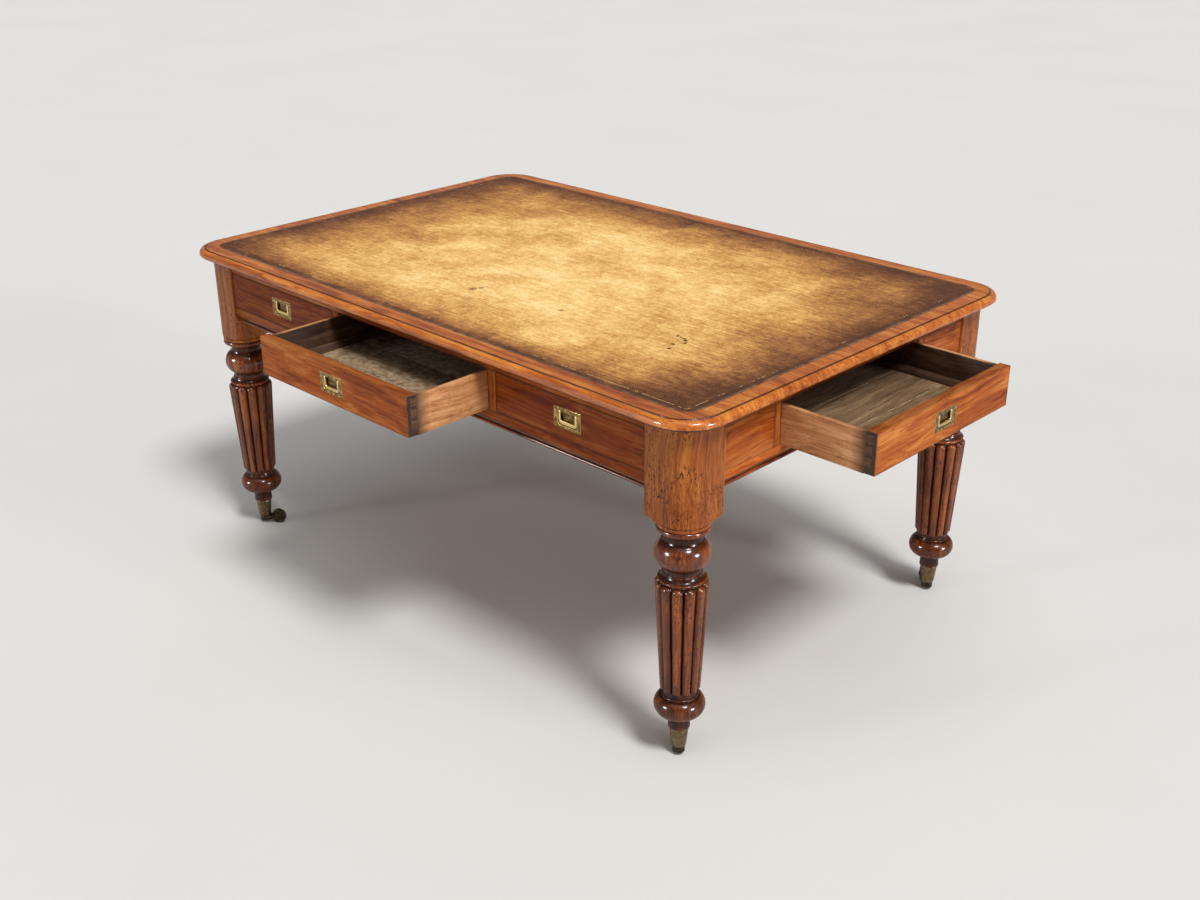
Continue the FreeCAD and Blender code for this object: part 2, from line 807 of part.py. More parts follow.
def drawer_box(width, depth):
    """Two dovetailed sides, a back, a bottom let into grooves and two quadrant slips."""
    half = width / 2
    inner = half - drawer_side_thickness
    bottom = drawer_bottom(width, depth)
    back_front = depth - drawer_back_thickness
    pieces = [bottom]
    pieces.append(box((-inner, inner), (back_front, depth), (bottom_top, side_top - drawer_back_drop)))
    for side in (-1, 1):
        wall = box((side * inner, side * half), (drawer_front_thickness, depth), (runner_top, side_top))
        pieces.append(fuse_all([wall] + side_tails(half, side)).cut(bottom))
        slip = outline_face([
            (side * inner, bottom_top), (side * (inner - slip_radius), bottom_top),
            (side * inner, bottom_top + slip_radius,
             side * (inner - slip_radius * math.sqrt(0.5)), bottom_top + slip_radius * math.sqrt(0.5))],
            lambda x, z: vec(x, drawer_front_thickness, z))
        pieces.append(slip.extrude(vec(0, back_front - drawer_front_thickness, 0)))
    return Part.makeCompound(pieces)


def drawer_nodes():
    nodes = {}
    plate = handle_plate()
    bail = handle_bail()
    for name, drawer in DRAWERS.items():
        width = drawer["opening"] - drawer_side_gap * 2
        place = drawer["closed"] + drawer["out"] * drawer["pull"]
        shapes = {"drawer_front": drawer_front(width, drawer["depth"], drawer["lock_recess"]),
                  "drawer_box": drawer_box(width, drawer["depth"]),
                  "handle_plate": plate,
                  "handle_bail": bail}
        for kind, shape in shapes.items():
            nodes[kind + "_" + name] = turned_about_z(shape, drawer["turn"], place)
    return nodes


def desk_nodes():
    nodes = {}
    top_rails = frame_rails(top_rail_depth, (opening_top, top_underside))
    bottom_rails = frame_rails(bottom_rail_depth, (rail_foot, runner_top))
    buttons = placed_buttons(button_block())
    holes = Part.makeCompound(placed_buttons(button_screw(screw_clearance)))
    tongues = Part.makeCompound(buttons)
    one_leg = leg()
    one_cup = caster_cup()
    one_fork = caster_fork()
    one_wheel = caster_wheel()
    tenons = Part.makeCompound(top_rails + bottom_rails)
    cups = []
    for name, (sx, sy) in LEGS.items():
        place = vec(sx * leg_x, sy * leg_y, 0)
        nodes["leg_" + name] = turned_about_z(one_leg, LEG_TURNS[name], place).cut(tenons)
        cups.append(turned_about_z(one_cup, 0, place))
        nodes["caster_fork_" + name] = turned_about_z(one_fork, caster_angles[name], place)
        nodes["caster_wheel_" + name] = turned_about_z(one_wheel, caster_angles[name], place)
    nodes["top_board"] = top_board().cut(holes)
    nodes["leather_inset"] = leather_inset()
    groups = {
        "top_rails": [rail.cut(tongues) for rail in top_rails],
        "bottom_rails": bottom_rails,
        "base_beads": base_beads(),
        "long_stiles": long_stiles(),
        "end_stiles": end_stiles(),
        "end_panels": end_panels(),
        "drawer_runners": drawer_runners(),
        "drawer_guides": drawer_guides(),
        "drawer_kickers": drawer_kickers(),
        "drawer_stops": drawer_stops(),
        "top_buttons": [button.cut(holes) for button in buttons],
        "button_screws": placed_buttons(button_screw(0)),
        "caster_cups": cups,
    }
    for name, solids in groups.items():
        nodes[name] = Part.makeCompound(solids)
    return nodes


def write_nodes():
    os.makedirs("parts", exist_ok=True)
    nodes = desk_nodes()
    nodes.update(drawer_nodes())
    for name, shape in nodes.items():
        shape.exportStep(os.path.join("parts", name + ".step"))
    print(len(nodes), "nodes")


write_nodes()
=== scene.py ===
import json
import math
import random

import bmesh
import bpy
from mathutils import Matrix, Vector


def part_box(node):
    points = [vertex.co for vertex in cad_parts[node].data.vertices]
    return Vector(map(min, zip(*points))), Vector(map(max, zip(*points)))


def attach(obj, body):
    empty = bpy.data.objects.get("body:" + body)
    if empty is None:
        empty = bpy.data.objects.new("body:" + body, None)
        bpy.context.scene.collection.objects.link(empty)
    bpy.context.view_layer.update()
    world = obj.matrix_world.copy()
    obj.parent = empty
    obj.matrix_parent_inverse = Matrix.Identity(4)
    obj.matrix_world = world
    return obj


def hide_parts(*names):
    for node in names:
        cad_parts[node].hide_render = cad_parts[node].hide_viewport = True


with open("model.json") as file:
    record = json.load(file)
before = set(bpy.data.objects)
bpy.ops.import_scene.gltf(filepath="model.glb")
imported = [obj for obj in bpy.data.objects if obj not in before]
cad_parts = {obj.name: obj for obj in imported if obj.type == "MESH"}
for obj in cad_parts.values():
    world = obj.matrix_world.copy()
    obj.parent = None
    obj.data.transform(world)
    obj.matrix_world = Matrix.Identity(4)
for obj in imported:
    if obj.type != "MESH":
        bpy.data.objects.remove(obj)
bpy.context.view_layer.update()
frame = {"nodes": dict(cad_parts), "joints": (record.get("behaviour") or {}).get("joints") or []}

# Partners desk in polished mahogany, with a worn tan hide top, reeded legs and flush brass handles.
# Metres, on the axes of the CAD frame. Sizes are written in millimetres and turned to metres by MM.
MM = 0.001
UP = Vector((0, 0, 1))
SCENE = bpy.context.scene

# The turns that face each leg's rounded corner and each drawer's front out of the desk
LEG_TURNS = {"front_left": 180, "front_right": 270, "back_left": 90, "back_right": 0}
DRAWER_TURNS = {"front_left": 0, "front_middle": 0, "front_right": 0, "back_left": 180, "back_middle": 180,
                "back_right": 180, "left_end": 270, "right_end": 90}

board_draws = random.Random(1860)


# Small helpers

def linear(hex_colour):
    """An sRGB hex colour as linear RGBA."""
    parts = [int(hex_colour[i:i + 2], 16) / 255 for i in (1, 3, 5)]
    curve = [p / 12.92 if p <= 0.04045 else ((p + 0.055) / 1.055) ** 2.4 for p in parts]
    return (*curve, 1.0)


def add(tree, kind, inputs=None, stops=None, out=0, **settings):
    """Adds a node and gives one of its outputs, or all where out is None.

    A plain kind is a shader node. inputs gives a socket's name or number a value or a link, and stops are
    the colours of a ramp.
    """
    node = tree.nodes.new(kind if "Node" in kind else "ShaderNode" + kind)
    for name, value in settings.items():
        setattr(node, name, value)
    for key, value in (inputs or {}).items():
        if isinstance(value, bpy.types.NodeSocket):
            tree.links.new(value, node.inputs[key])
        else:
            node.inputs[key].default_value = value
    for number, (position, colour) in enumerate(stops or ()):
        elements = node.color_ramp.elements
        element = elements[number] if number < 2 else elements.new(position)
        element.position = position
        element.color = linear(colour)
    return node.outputs if out is None else node.outputs[out]


def maths(tree, operation, *values):
    """A sum, a product or another step on numbers."""
    return add(tree, "Math", dict(enumerate(values)), operation=operation)


def vector_maths(tree, operation, first, second):
    """The same on two vectors, or on a vector and its scale."""
    key = "Scale" if operation == "SCALE" else 1
    out = "Value" if operation in ("DOT_PRODUCT", "DISTANCE") else 0
    return add(tree, "VectorMath", {0: first, key: second}, out=out, operation=operation)


def spread(tree, source, low, high, first, last):
    """A value that runs from first to last while its source runs from low to high."""
    return add(tree, "MapRange", dict(enumerate((source, low, high, first, last))))


def overlaid(tree, colour, mask, overlay_colour):
    """A colour with another laid over it where a mask says: a stain, a mark, wear, grime or painted shade."""
    return add(tree, "Mix", {0: mask, 6: colour, 7: linear(overlay_colour)}, out=2, data_type="RGBA")


def per_mm(size):
    """The noise scale whose blotches are about this many millimetres across."""
    return 1 / (size * MM)


def blotches(tree, vector, width, detail, broken=0.5, distortion=0):
    """Noise in blotches about so many millimetres wide."""
    return add(tree, "TexNoise", {
        "Vector": vector, "Scale": per_mm(width), "Detail": detail, "Roughness": broken,
        "Distortion": distortion}, out="Fac")


def arc(start, through, end, steps):
    """Points of the circular arc from start to end by way of through, without the start."""
    (ax, ay), (bx, by), (cx, cy) = start, through, end
    d = 2 * (ax * (by - cy) + bx * (cy - ay) + cx * (ay - by))
    a2, b2, c2 = ax * ax + ay * ay, bx * bx + by * by, cx * cx + cy * cy
    ox = (a2 * (by - cy) + b2 * (cy - ay) + c2 * (ay - by)) / d
    oy = (a2 * (cx - bx) + b2 * (ax - cx) + c2 * (bx - ax)) / d
    radius = math.hypot(ax - ox, ay - oy)
    first = math.atan2(ay - oy, ax - ox)
    middle = (math.atan2(by - oy, bx - ox) - first) % math.tau
    sweep = (math.atan2(cy - oy, cx - ox) - first) % math.tau
    if middle > sweep:
        sweep -= math.tau
    angles = [first + sweep * i / steps for i in range(1, steps + 1)]
    return [(ox + radius * math.cos(a), oy + radius * math.sin(a)) for a in angles]


def outline_of(*steps):
    """Points of an outline: (a, b) is a point, (a, b, c, d, n) an arc to it through c, d in n steps."""
    points = []
    for a, b, *bulge in steps:
        points += arc(points[-1], bulge[:2], (a, b), bulge[2]) if bulge else [(a, b)]
    return points


def main_axis(direction):
    """Number of the axis that a direction mostly runs along."""
    return max(range(3), key=lambda i: abs(direction[i]))


def along_axis(axis):
    """The direction of an axis."""
    return Vector([1.0 if i == axis else 0.0 for i in range(3)])


def put(name, data):
    """A new object in the scene, at the origin."""
    made = bpy.data.objects.new(name, data)
    SCENE.collection.objects.link(made)
    return made


# Materials

# Colour that grime and painted shade darken towards
GRIME_AND_SHADE_COLOUR = "#140904"
# Coat that is left where grime and painted shade are thickest
COAT_SHARE_UNDER_GRIME_AND_SHADE = 0.4
# How far apart in the pattern two boards lie, in metres
BOARD_SHIFT = (7.0, 5.0, 3.0)
# The slow bends of the grain: their length and how far they lean, in millimetres
BEND_LENGTH = 170
BEND_LEAN = 30
# Shares of streaks over the figure, and of cloud over both
STREAK_SHARE = 0.42
CLOUD_SHARE = 0.15


def new_material(name):
    """An empty material and its node tree."""
    material = bpy.data.materials.new(name)
    material.use_nodes = True
    material.node_tree.nodes.clear()
    return material, material.node_tree


def shaded(material, surface):
    """Finishes a material with a shader whose sockets take the given values and links."""
    tree = material.node_tree
    shader = add(tree, "BsdfPrincipled", surface)
    add(tree, "OutputMaterial", {"Surface": shader}, out=None)
    return material


def grain_noise(tree, place, along, grain, board, streak_width):
    """Noise patterns that run along each board's own grain and differ from board to board."""
    apart = vector_maths(tree, "SCALE", BOARD_SHIFT, board)
    shifted = vector_maths(tree, "ADD", place, apart)
    bend = add(tree, "TexNoise", {"Vector": shifted, "Scale": per_mm(BEND_LENGTH), "Detail": 1}, out="Color")
    bend = vector_maths(tree, "SUBTRACT", bend, (0.5, 0.5, 0.5))
    bend = vector_maths(tree, "SCALE", bend, BEND_LEAN * MM)
    shifted = vector_maths(tree, "ADD", shifted, bend)
    # Each pattern's stretch along the grain, width in millimetres, detail, roughness and distortion.
    # Pores and specks are drawn wider than real ones, so that they show.
    noise = {}
    for pattern, (stretch, width, detail, broken, distortion) in {
            "figure": (12, streak_width * 5, 5, 0.6, 0.6),
            "streak": (26, streak_width, 5, 0.65, 0),
            "pores": (16, streak_width * 0.55, 2, 0.5, 0),
            "specks": (2.2, 3.4, 3, 0.5, 0),
            "clusters": (1, 60, 3, 0.5, 0),
            "cloud": (1, 120, 3, 0.5, 0),
            "wear": (1, 14, 3, 0.5, 0)}.items():
        vector = shifted
        if stretch > 1:
            back = maths(tree, "MULTIPLY", along, 1 / stretch - 1)
            slide = vector_maths(tree, "SCALE", grain, back)
            vector = vector_maths(tree, "ADD", shifted, slide)
        noise[pattern] = blotches(tree, vector, width, detail, broken, distortion)
    return noise


def timber(name, dark, middle, light, pore, worn, streak_width=5, roughness=0.36, gloss=0.25, coat=0.25,
           coat_roughness=0.16, coat_ior=1.5, end_share=0.5, wear_share=0.45, fleck_share=0.0, low_tone=0.8):
    """Wood in boards: broad figure, fine streaks and pores run along each board's own grain."""
    material, tree = new_material(name)
    place = add(tree, "TexCoord", out="Object")
    normal = add(tree, "NewGeometry", out="Normal")
    grain = add(tree, "Attribute", out="Vector", attribute_name="grain")
    board, shade, edge = [add(tree, "Attribute", out="Fac", attribute_name=layer)
                          for layer in ("board", "shade", "edge")]
    along, facing = [vector_maths(tree, "DOT_PRODUCT", way, grain) for way in (place, normal)]
    facing = maths(tree, "ABSOLUTE", facing)
    noise = grain_noise(tree, place, along, grain, board, streak_width)

    # What each level is read from, the span that it is read over, and its first and last value
    level = {}
    for use, (source, low, high, first, last) in {
            "pores": (noise["pores"], 0.60, 0.72, 0, 0.6),
            "specks": (noise["specks"], 0.54, 0.63, 0, fleck_share),
            "clusters": (noise["clusters"], 0.42, 0.56, 0.1, 1),
            "tone": (board, 0, 1, low_tone, 1.14),
            "end_grain": (facing, 0.6, 0.9, 0, end_share),
            "wear": (noise["wear"], 0.4, 0.62, 0.15, 1),
            "rough": (noise["cloud"], 0.3, 0.7, roughness - 0.06, roughness + 0.1)}.items():
        level[use] = spread(tree, source, low, high, first, last)

    mixed = add(tree, "Mix", {0: STREAK_SHARE, 2: noise["figure"], 3: noise["streak"]})
    clouded = add(tree, "Mix", {0: CLOUD_SHARE, 2: mixed, 3: noise["cloud"]})
    colour = add(tree, "ValToRGB", {0: clouded}, stops=[(0.39, dark), (0.61, light), (0.5, middle)])
    flecks = maths(tree, "MULTIPLY", level["specks"], level["clusters"])
    for mask in (level["pores"], flecks):
        colour = overlaid(tree, colour, mask, pore)
    tint = add(tree, "ValToRGB", {0: board}, stops=[(0.0, "#F6DACE"), (0.85, "#FFFFFF")])
    colour = vector_maths(tree, "MULTIPLY", colour, tint)
    colour = vector_maths(tree, "SCALE", colour, level["tone"])
    # Pale wear where the edge layer says; on the front-middle drawer's bottom it is also painted light
    wear = level["wear"]
    for share in (edge, wear_share):
        wear = maths(tree, "MULTIPLY", wear, share)
    # Dark end grain, the pale wear, then grime and painted shade where the shade layer says
    for mask, overlay_colour in ((level["end_grain"], dark), (wear, worn), (shade, GRIME_AND_SHADE_COLOUR)):
        colour = overlaid(tree, colour, mask, overlay_colour)

    bump = add(tree, "Bump", {"Height": noise["pores"], "Strength": 0.12, "Distance": 0.4 * MM})
    surface = {"Base Color": colour, "Roughness": level["rough"], "Normal": bump, "Specular IOR Level": gloss}
    if coat:
        waxed = spread(tree, shade, 0, 1, coat, coat * COAT_SHARE_UNDER_GRIME_AND_SHADE)
        surface.update({"Coat Weight": waxed, "Coat Roughness": coat_roughness, "Coat IOR": coat_ior})
    return shaded(material, surface)


def hide_gaps(tree, x, y, half_x, half_y):
    """How far in from each of the hide's edges a point lies, and how far from the nearest."""
    gaps = {}
    for side, (across, sign, half) in {"right": (x, -1, half_x), "left": (x, 1, half_x),
                                       "front": (y, 1, half_y), "back": (y, -1, half_y)}.items():
        scaled = maths(tree, "MULTIPLY", across, sign)
        gaps[side] = maths(tree, "ADD", scaled, half)
    nearest, *others = gaps.values()
    for gap in others:
        nearest = maths(tree, "MINIMUM", nearest, gap)
    return gaps, nearest


def hide_tone(tree, flat, gaps, half_x, half_y):
    """How pale the hide is rubbed: most in the middle, least at its edges and its two right corners."""
    # How far the dark reaches in from each, in millimetres
    edge_reach = {"right": 150, "left": 190, "front": 48, "back": 105}
    corner_reach = {(1, -1): 120, (1, 1): 150}
    fades = [(gaps[side], reach) for side, reach in edge_reach.items()]
    for (sx, sy), reach in corner_reach.items():
        corner = (sx * half_x, sy * half_y, 0)
        fades.append((vector_maths(tree, "DISTANCE", flat, corner), reach))
    pale = 0.86
    for distance, reach in fades:
        reaches = maths(tree, "MULTIPLY", distance, -1 / (reach * MM))
        dark = maths(tree, "EXPONENT", reaches)
        rubbed = maths(tree, "SUBTRACT", 1.0, dark)
        pale = maths(tree, "MULTIPLY", rubbed, pale)
    return pale


def hide_marks(tree, flat, nearest, noise):
    """Lines, the dark band at the edge, its scuffed rim, stains and ink, each a mask and a colour."""
    # Blind tooled lines, in from the edge
    blind_lines = (44, 60)
    # Marks: place and radius
    stains = [(-48, -280, 9), (-40, -264, 6), (-220, -148, 3), (200, -248, 6), (150, -208, 3), (170, 232, 3),
              (-300, -210, 3), (-12, -190, 3)]
    ink_marks = [(486, -197, 3.4), (496, -199, 3), (507, -202, 4.4), (516, -208, 4.2), (524, -219, 4),
                 (510, -240, 4.4), (521, -263, 4)]
    layers = []
    for line in blind_lines:
        offset = maths(tree, "SUBTRACT", nearest, line * MM)
        offset = maths(tree, "ABSOLUTE", offset)
        depth = spread(tree, noise["cloud"], 0.42, 0.6, 0.05, 0.5)
        layers.append((spread(tree, offset, 0.8 * MM, 2.2 * MM, depth, 0.0), "#5A351C"))
    band = spread(tree, nearest, 15 * MM, 19 * MM, 0.2, 0.0)
    scuffed = spread(tree, noise["mottle"], 0.35, 0.65, 0.0, 0.6)
    rim = spread(tree, nearest, 2.5 * MM, 6 * MM, scuffed, 0.0)
    layers += [(band, "#40230F"), (rim, "#9C8A72")]
    ragged = spread(tree, noise["fine"], 0.3, 0.7, -2 * MM, 2 * MM)
    for marks, overlay_colour, depth in ((stains, "#7A4A22", 0.7), (ink_marks, "#1C1008", 0.95)):
        for mark_x, mark_y, radius in marks:
            away = vector_maths(tree, "DISTANCE", flat, (mark_x * MM, mark_y * MM, 0))
            away = maths(tree, "ADD", away, ragged)
            inner, outer = radius * MM * 0.7, radius * MM * 1.3
            layers.append((spread(tree, away, inner, outer, depth, 0.0), overlay_colour))
    return layers


def hide_leather(name, half_x, half_y):
    """Vegetable-tanned hide, rubbed pale in the middle and left dark at the edges, with ink marks."""
    material, tree = new_material(name)
    place = add(tree, "TexCoord", out="Object")
    x, y, _ = add(tree, "SeparateXYZ", {0: place}, out=None)
    flat = add(tree, "CombineXYZ", {0: x, 1: y})
    gaps, nearest = hide_gaps(tree, x, y, half_x, half_y)
    pale = hide_tone(tree, flat, gaps, half_x, half_y)

    # Each pattern's coordinates, width in millimetres, detail, roughness, and swing in tone
    drawn_out = add(tree, "Mapping", {"Vector": place, "Scale": (0.06, 1, 1)})
    noise = {}
    for pattern, (vector, width, detail, broken, swing) in {
            "cloud": (place, 150, 5, 0.6, 0.22), "mottle": (place, 18, 6, 0.72, 0.15),
            "fine": (place, 6, 4, 0.7, 0.14), "scuffs": (drawn_out, 5, 4, 0.7, 0.18)}.items():
        noise[pattern] = blotches(tree, vector, width, detail, broken)
        lift = spread(tree, noise[pattern], 0.25, 0.75, -swing, swing)
        pale = maths(tree, "ADD", pale, lift)
    colour = add(tree, "ValToRGB", {0: pale}, stops=[
        (0.0, "#583420"), (1.0, "#FFDE9C"), (0.2, "#7C4C2A"), (0.4, "#A56E3C"), (0.6, "#CC944E"),
        (0.84, "#F4C578")])
    for mask, overlay_colour in hide_marks(tree, flat, nearest, noise):
        colour = overlaid(tree, colour, mask, overlay_colour)

    rough = spread(tree, noise["mottle"], 0.3, 0.7, 0.5, 0.68)
    pebble = add(tree, "TexVoronoi", {"Vector": place, "Scale": per_mm(3.2)}, out="Distance")
    height = add(tree, "Mix", {0: 0.5, 2: noise["mottle"], 3: pebble})
    bump = add(tree, "Bump", {"Height": height, "Strength": 0.25, "Distance": 0.5 * MM})
    return shaded(material, {
        "Base Color": colour, "Roughness": rough, "Normal": bump, "Specular IOR Level": 0.25})


def old_metal(name, bright, dull, dark, roughness, blotch=7, metallic=1.0):
    """Cast metal that has gone dull in blotches and stays bright where hands rub it."""
    material, tree = new_material(name)
    place = add(tree, "TexCoord", out="Object")
    edge, shade = [add(tree, "Attribute", out="Fac", attribute_name=layer) for layer in ("edge", "shade")]
    tarnish = blotches(tree, place, blotch, 5, 0.65)
    pits = blotches(tree, place, 1.4, 2)
    rubbed = maths(tree, "MULTIPLY", edge, 0.28)
    level = maths(tree, "ADD", tarnish, rubbed)
    colour = add(tree, "ValToRGB", {0: level}, stops=[(0.32, dark), (0.72, bright), (0.5, dull)])
    colour = overlaid(tree, colour, shade, dark)
    rough = spread(tree, level, 0.3, 0.75, roughness + 0.18, roughness)
    bump = add(tree, "Bump", {"Height": pits, "Strength": 0.15, "Distance": 0.2 * MM})
    return shaded(material, {
        "Base Color": colour, "Roughness": rough, "Normal": bump, "Metallic": metallic})


def pale_concrete(name):
    """Smooth pale studio floor."""
    material, tree = new_material(name)
    place = add(tree, "TexCoord", out="Object")
    cloud = blotches(tree, place, 900, 4)
    colour = add(tree, "ValToRGB", {0: cloud}, stops=[(0.3, "#DBD9D5"), (0.7, "#DEDCD8")])
    return shaded(material, {"Base Color": colour, "Roughness": 0.7})


# Spanish mahogany, french polished: orange-brown, with long streaks and a thin gloss coat
top_mahogany = timber("polished_mahogany_top", "#83390F", "#BC641F", "#D98C3A", "#54220A", "#DE9848",
                      roughness=0.34, coat=0.5, coat_roughness=0.1, end_share=0.1, fleck_share=0.25)
# The same wood on the rails and drawer fronts, redder where less light has bleached it; its tone reaches low
# so the darkest front carries painted shade
frieze_mahogany = timber("polished_mahogany_frieze", "#853A14", "#B66026", "#D68C48", "#4A1A08", "#D08844",
                         roughness=0.42, gloss=0.06, coat=0.04, end_share=0.75, low_tone=0.56)
# Leg blocks, straight grained and flecked
block_mahogany = timber("polished_mahogany_block", "#7A3A14", "#A05822", "#BE7834", "#2C1207", "#CC8A42",
                        streak_width=2.6, roughness=0.38, gloss=0.15, coat=0.1, end_share=0.4,
                        fleck_share=0.85)
# Turned and reeded work, stained dark and well waxed, so its rounds carry sharp highlights
turned_mahogany = timber("waxed_mahogany_turning", "#3E1606", "#7A3A12", "#AC5E22", "#1E0A02", "#A85E24",
                         streak_width=4, roughness=0.46, gloss=0.06, coat=0.6, coat_ior=1.6, end_share=0.2,
                         fleck_share=0.8)
# Drawer sides, bare mahogany gone pinkish tan, pale along the handled edges
lining_wood = timber("bare_drawer_side", "#8C5630", "#C08250", "#DCA472", "#5A341C", "#E0B888",
                     roughness=0.6, coat=0.0, end_share=0.6, wear_share=0.8, fleck_share=0.3)
# Inside faces of the drawers, stained dark brown by a century of ink and dust, and darker still as painted
# shade
inside_wood = timber("dark_drawer_inside", "#2C1C13", "#483122", "#664B36", "#1C110A", "#8A6E50",
                     roughness=0.6, coat=0.0, end_share=0.4, wear_share=0.5, fleck_share=0.3)
# Drawer bottoms, dusty grey-brown boards
bottom_wood = timber("dusty_drawer_bottom", "#55402A", "#785E44", "#9A805E", "#33251A", "#D0BE9A",
                     streak_width=6, roughness=0.75, coat=0.0, wear_share=0.9, fleck_share=0.4)
# Hidden framing, unpolished pine
frame_wood = timber("unpolished_frame_pine", "#6E4C2C", "#9C7243", "#B89160", "#553A20", "#B08A5E",
                    streak_width=6, roughness=0.7, coat=0.0, end_share=0.4)
# Cast brass handles, olive where tarnished and pale gold where rubbed
handle_brass = old_metal("aged_handle_brass", "#D3B67A", "#7A6136", "#46361A", roughness=0.26)
# Brass caster cups, brown with floor dirt
caster_brass = old_metal("dirty_caster_brass", "#8E7A5C", "#705E46", "#4C3E2E", roughness=0.3)
# Caster wheels and forks, gone nearly black with oil and floor dirt
wheel_brass = old_metal("blackened_wheel_brass", "#5E5240", "#3C3226", "#211B14", roughness=0.34)
# Dark iron screws
screw_iron = old_metal("blackened_screw_iron", "#6A655E", "#46423D", "#262320", roughness=0.42)
# Gold leaf pressed into the hide, thin and rubbed through
gold_leaf = old_metal("rubbed_gold_leaf", "#F6E0A8", "#E2C080", "#A88048", roughness=0.42, blotch=5,
                      metallic=0.4)


# Mesh helpers

MERGE = 0.01 * MM
# Turns between two faces, in degrees: less lies flat, more is a sharp edge
FLAT_TURN = 0.4
SHARP_TURN = 28
# Cosines for a face that looks exactly, closely or roughly a given way
EXACTLY = 0.999
CLOSELY = 0.99
ROUGHLY = 0.9


def solids_of(bm):
    """The separate solids in a mesh, each as a list of its points."""
    seen = set()
    groups = []
    for start in bm.verts:
        if start in seen:
            continue
        seen.add(start)
        group = [start]
        for vert in group:
            for link in vert.link_edges:
                other = link.other_vert(vert)
                if other not in seen:
                    seen.add(other)
                    group.append(other)
        groups.append(group)
    return groups


def corners_of(verts):
    """The low and high corners of the box round some points."""
    low = Vector([min(v.co[i] for v in verts) for i in range(3)])
    high = Vector([max(v.co[i] for v in verts) for i in range(3)])
    return low, high


def new_mesh():
    """An empty mesh with room for grain, board number, grime and painted shade, and edge wear."""
    bm = bmesh.new()
    bm.verts.layers.float_vector.new("grain")
    bm.verts.layers.float.new("board")
    bm.verts.layers.float.new("shade")
    bm.faces.layers.float.new("edge")
    return bm


def to_mesh(bm, name):
    """A plain mesh from the points and faces of another."""
    mesh = bpy.data.meshes.new(name)
    bm.to_mesh(mesh)
    bm.free()
    return mesh


def lay_grain(bm, verts, grain, chosen=None):
    """Gives a board its grain direction and the number, drawn or chosen, that its wood depends on."""
    direction = bm.verts.layers.float_vector["grain"]
    number = bm.verts.layers.float["board"]
    draw = board_draws.random() if chosen is None else chosen
    for vert in verts:
        vert[direction] = grain
        vert[number] = draw


def soften(bm, radius):
    """Rounds the sharp edges and marks the new faces as worn edges."""
    worn = bm.faces.layers.float["edge"]
    sharp = [e for e in bm.edges if e.is_manifold and e.calc_face_angle() > math.radians(SHARP_TURN)]
    made = bmesh.ops.bevel(bm, geom=sharp, offset=radius * MM, segments=2, profile=0.5, affect="EDGES",
                           clamp_overlap=False, material=-1)
    for face in made["faces"]:
        face[worn] = 1.0


def from_node(node):
    """A copy of a CAD node, each solid merged apart from the ones it touches and its triangles paired."""
    source = frame["nodes"][node].data
    keys = [tuple(round(c / MERGE) for c in v.co) for v in source.vertices]
    bm = new_mesh()
    points = {}
    unmatched = set()
    for polygon in source.polygons:
        corners = [keys[i] for i in polygon.vertices]
        if len(set(corners)) == 3:
            for key, i in zip(corners, polygon.vertices):
                if key not in points:
                    points[key] = bm.verts.new(source.vertices[i].co)
            bm.faces.new([points[key] for key in corners])
        for pair in zip(corners, corners[1:] + corners[:1]):
            if pair[::-1] in unmatched:
                unmatched.remove(pair[::-1])
            else:
                unmatched.add(pair)
        if not unmatched:
            points = {}
    bmesh.ops.join_triangles(bm, faces=bm.faces, angle_face_threshold=math.radians(FLAT_TURN),
                             angle_shape_threshold=math.pi)
    return bm


def piece(bm, name, materials, body, nodes, smooth_angle=25):
    """Turns a mesh into a finished piece that rides on a body and stands for CAD nodes."""
    bmesh.ops.dissolve_degenerate(bm, dist=MERGE / 10, edges=bm.edges)
    mesh = to_mesh(bm, name)
    if "custom_normal" in mesh.attributes:
        mesh.attributes.remove(mesh.attributes["custom_normal"])
    for material in materials:
        mesh.materials.append(material)
    mesh.polygons.foreach_set("use_smooth", [True] * len(mesh.polygons))
    mesh.set_sharp_from_angle(angle=math.radians(smooth_angle))
    made = put(name, mesh)
    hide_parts(*nodes)
    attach(made, body)
    return made


def skin(bm, rings, closed=False):
    """Joins rings of points into a shell with flat ends, or one that closes on its first ring."""
    following = rings[1:] + rings[:1] if closed else rings[1:]
    for one, two in zip(rings, following):
        for i in range(len(one)):
            j = (i + 1) % len(one)
            bm.faces.new((one[i], one[j], two[j], two[i]))
    if not closed:
        bm.faces.new(rings[0][::-1])
        bm.faces.new(rings[-1])
    bmesh.ops.recalc_face_normals(bm, faces=bm.faces)


def turned(bm, outline, segments, place):
    """A shell turned from a closed outline of (radius, height) pairs in millimetres."""
    turns = [math.tau * i / segments for i in range(segments)]
    rings = []
    for radius, height in outline:
        spots = [Vector((radius * math.cos(t), radius * math.sin(t), height)) * MM for t in turns]
        rings.append([bm.verts.new(place @ spot) for spot in spots])
    skin(bm, rings, closed=True)


def rounded_corners(half_x, half_y, radius, steps):
    """Points round a rectangle with rounded corners."""
    points = []
    for quarter, (sx, sy) in enumerate(((1, 1), (-1, 1), (-1, -1), (1, -1))):
        for i in range(steps + 1):
            turn = math.pi / 2 * (quarter + i / steps)
            points.append((sx * (half_x - radius) + radius * math.cos(turn),
                           sy * (half_y - radius) + radius * math.sin(turn)))
    return points


# Geometry node trees

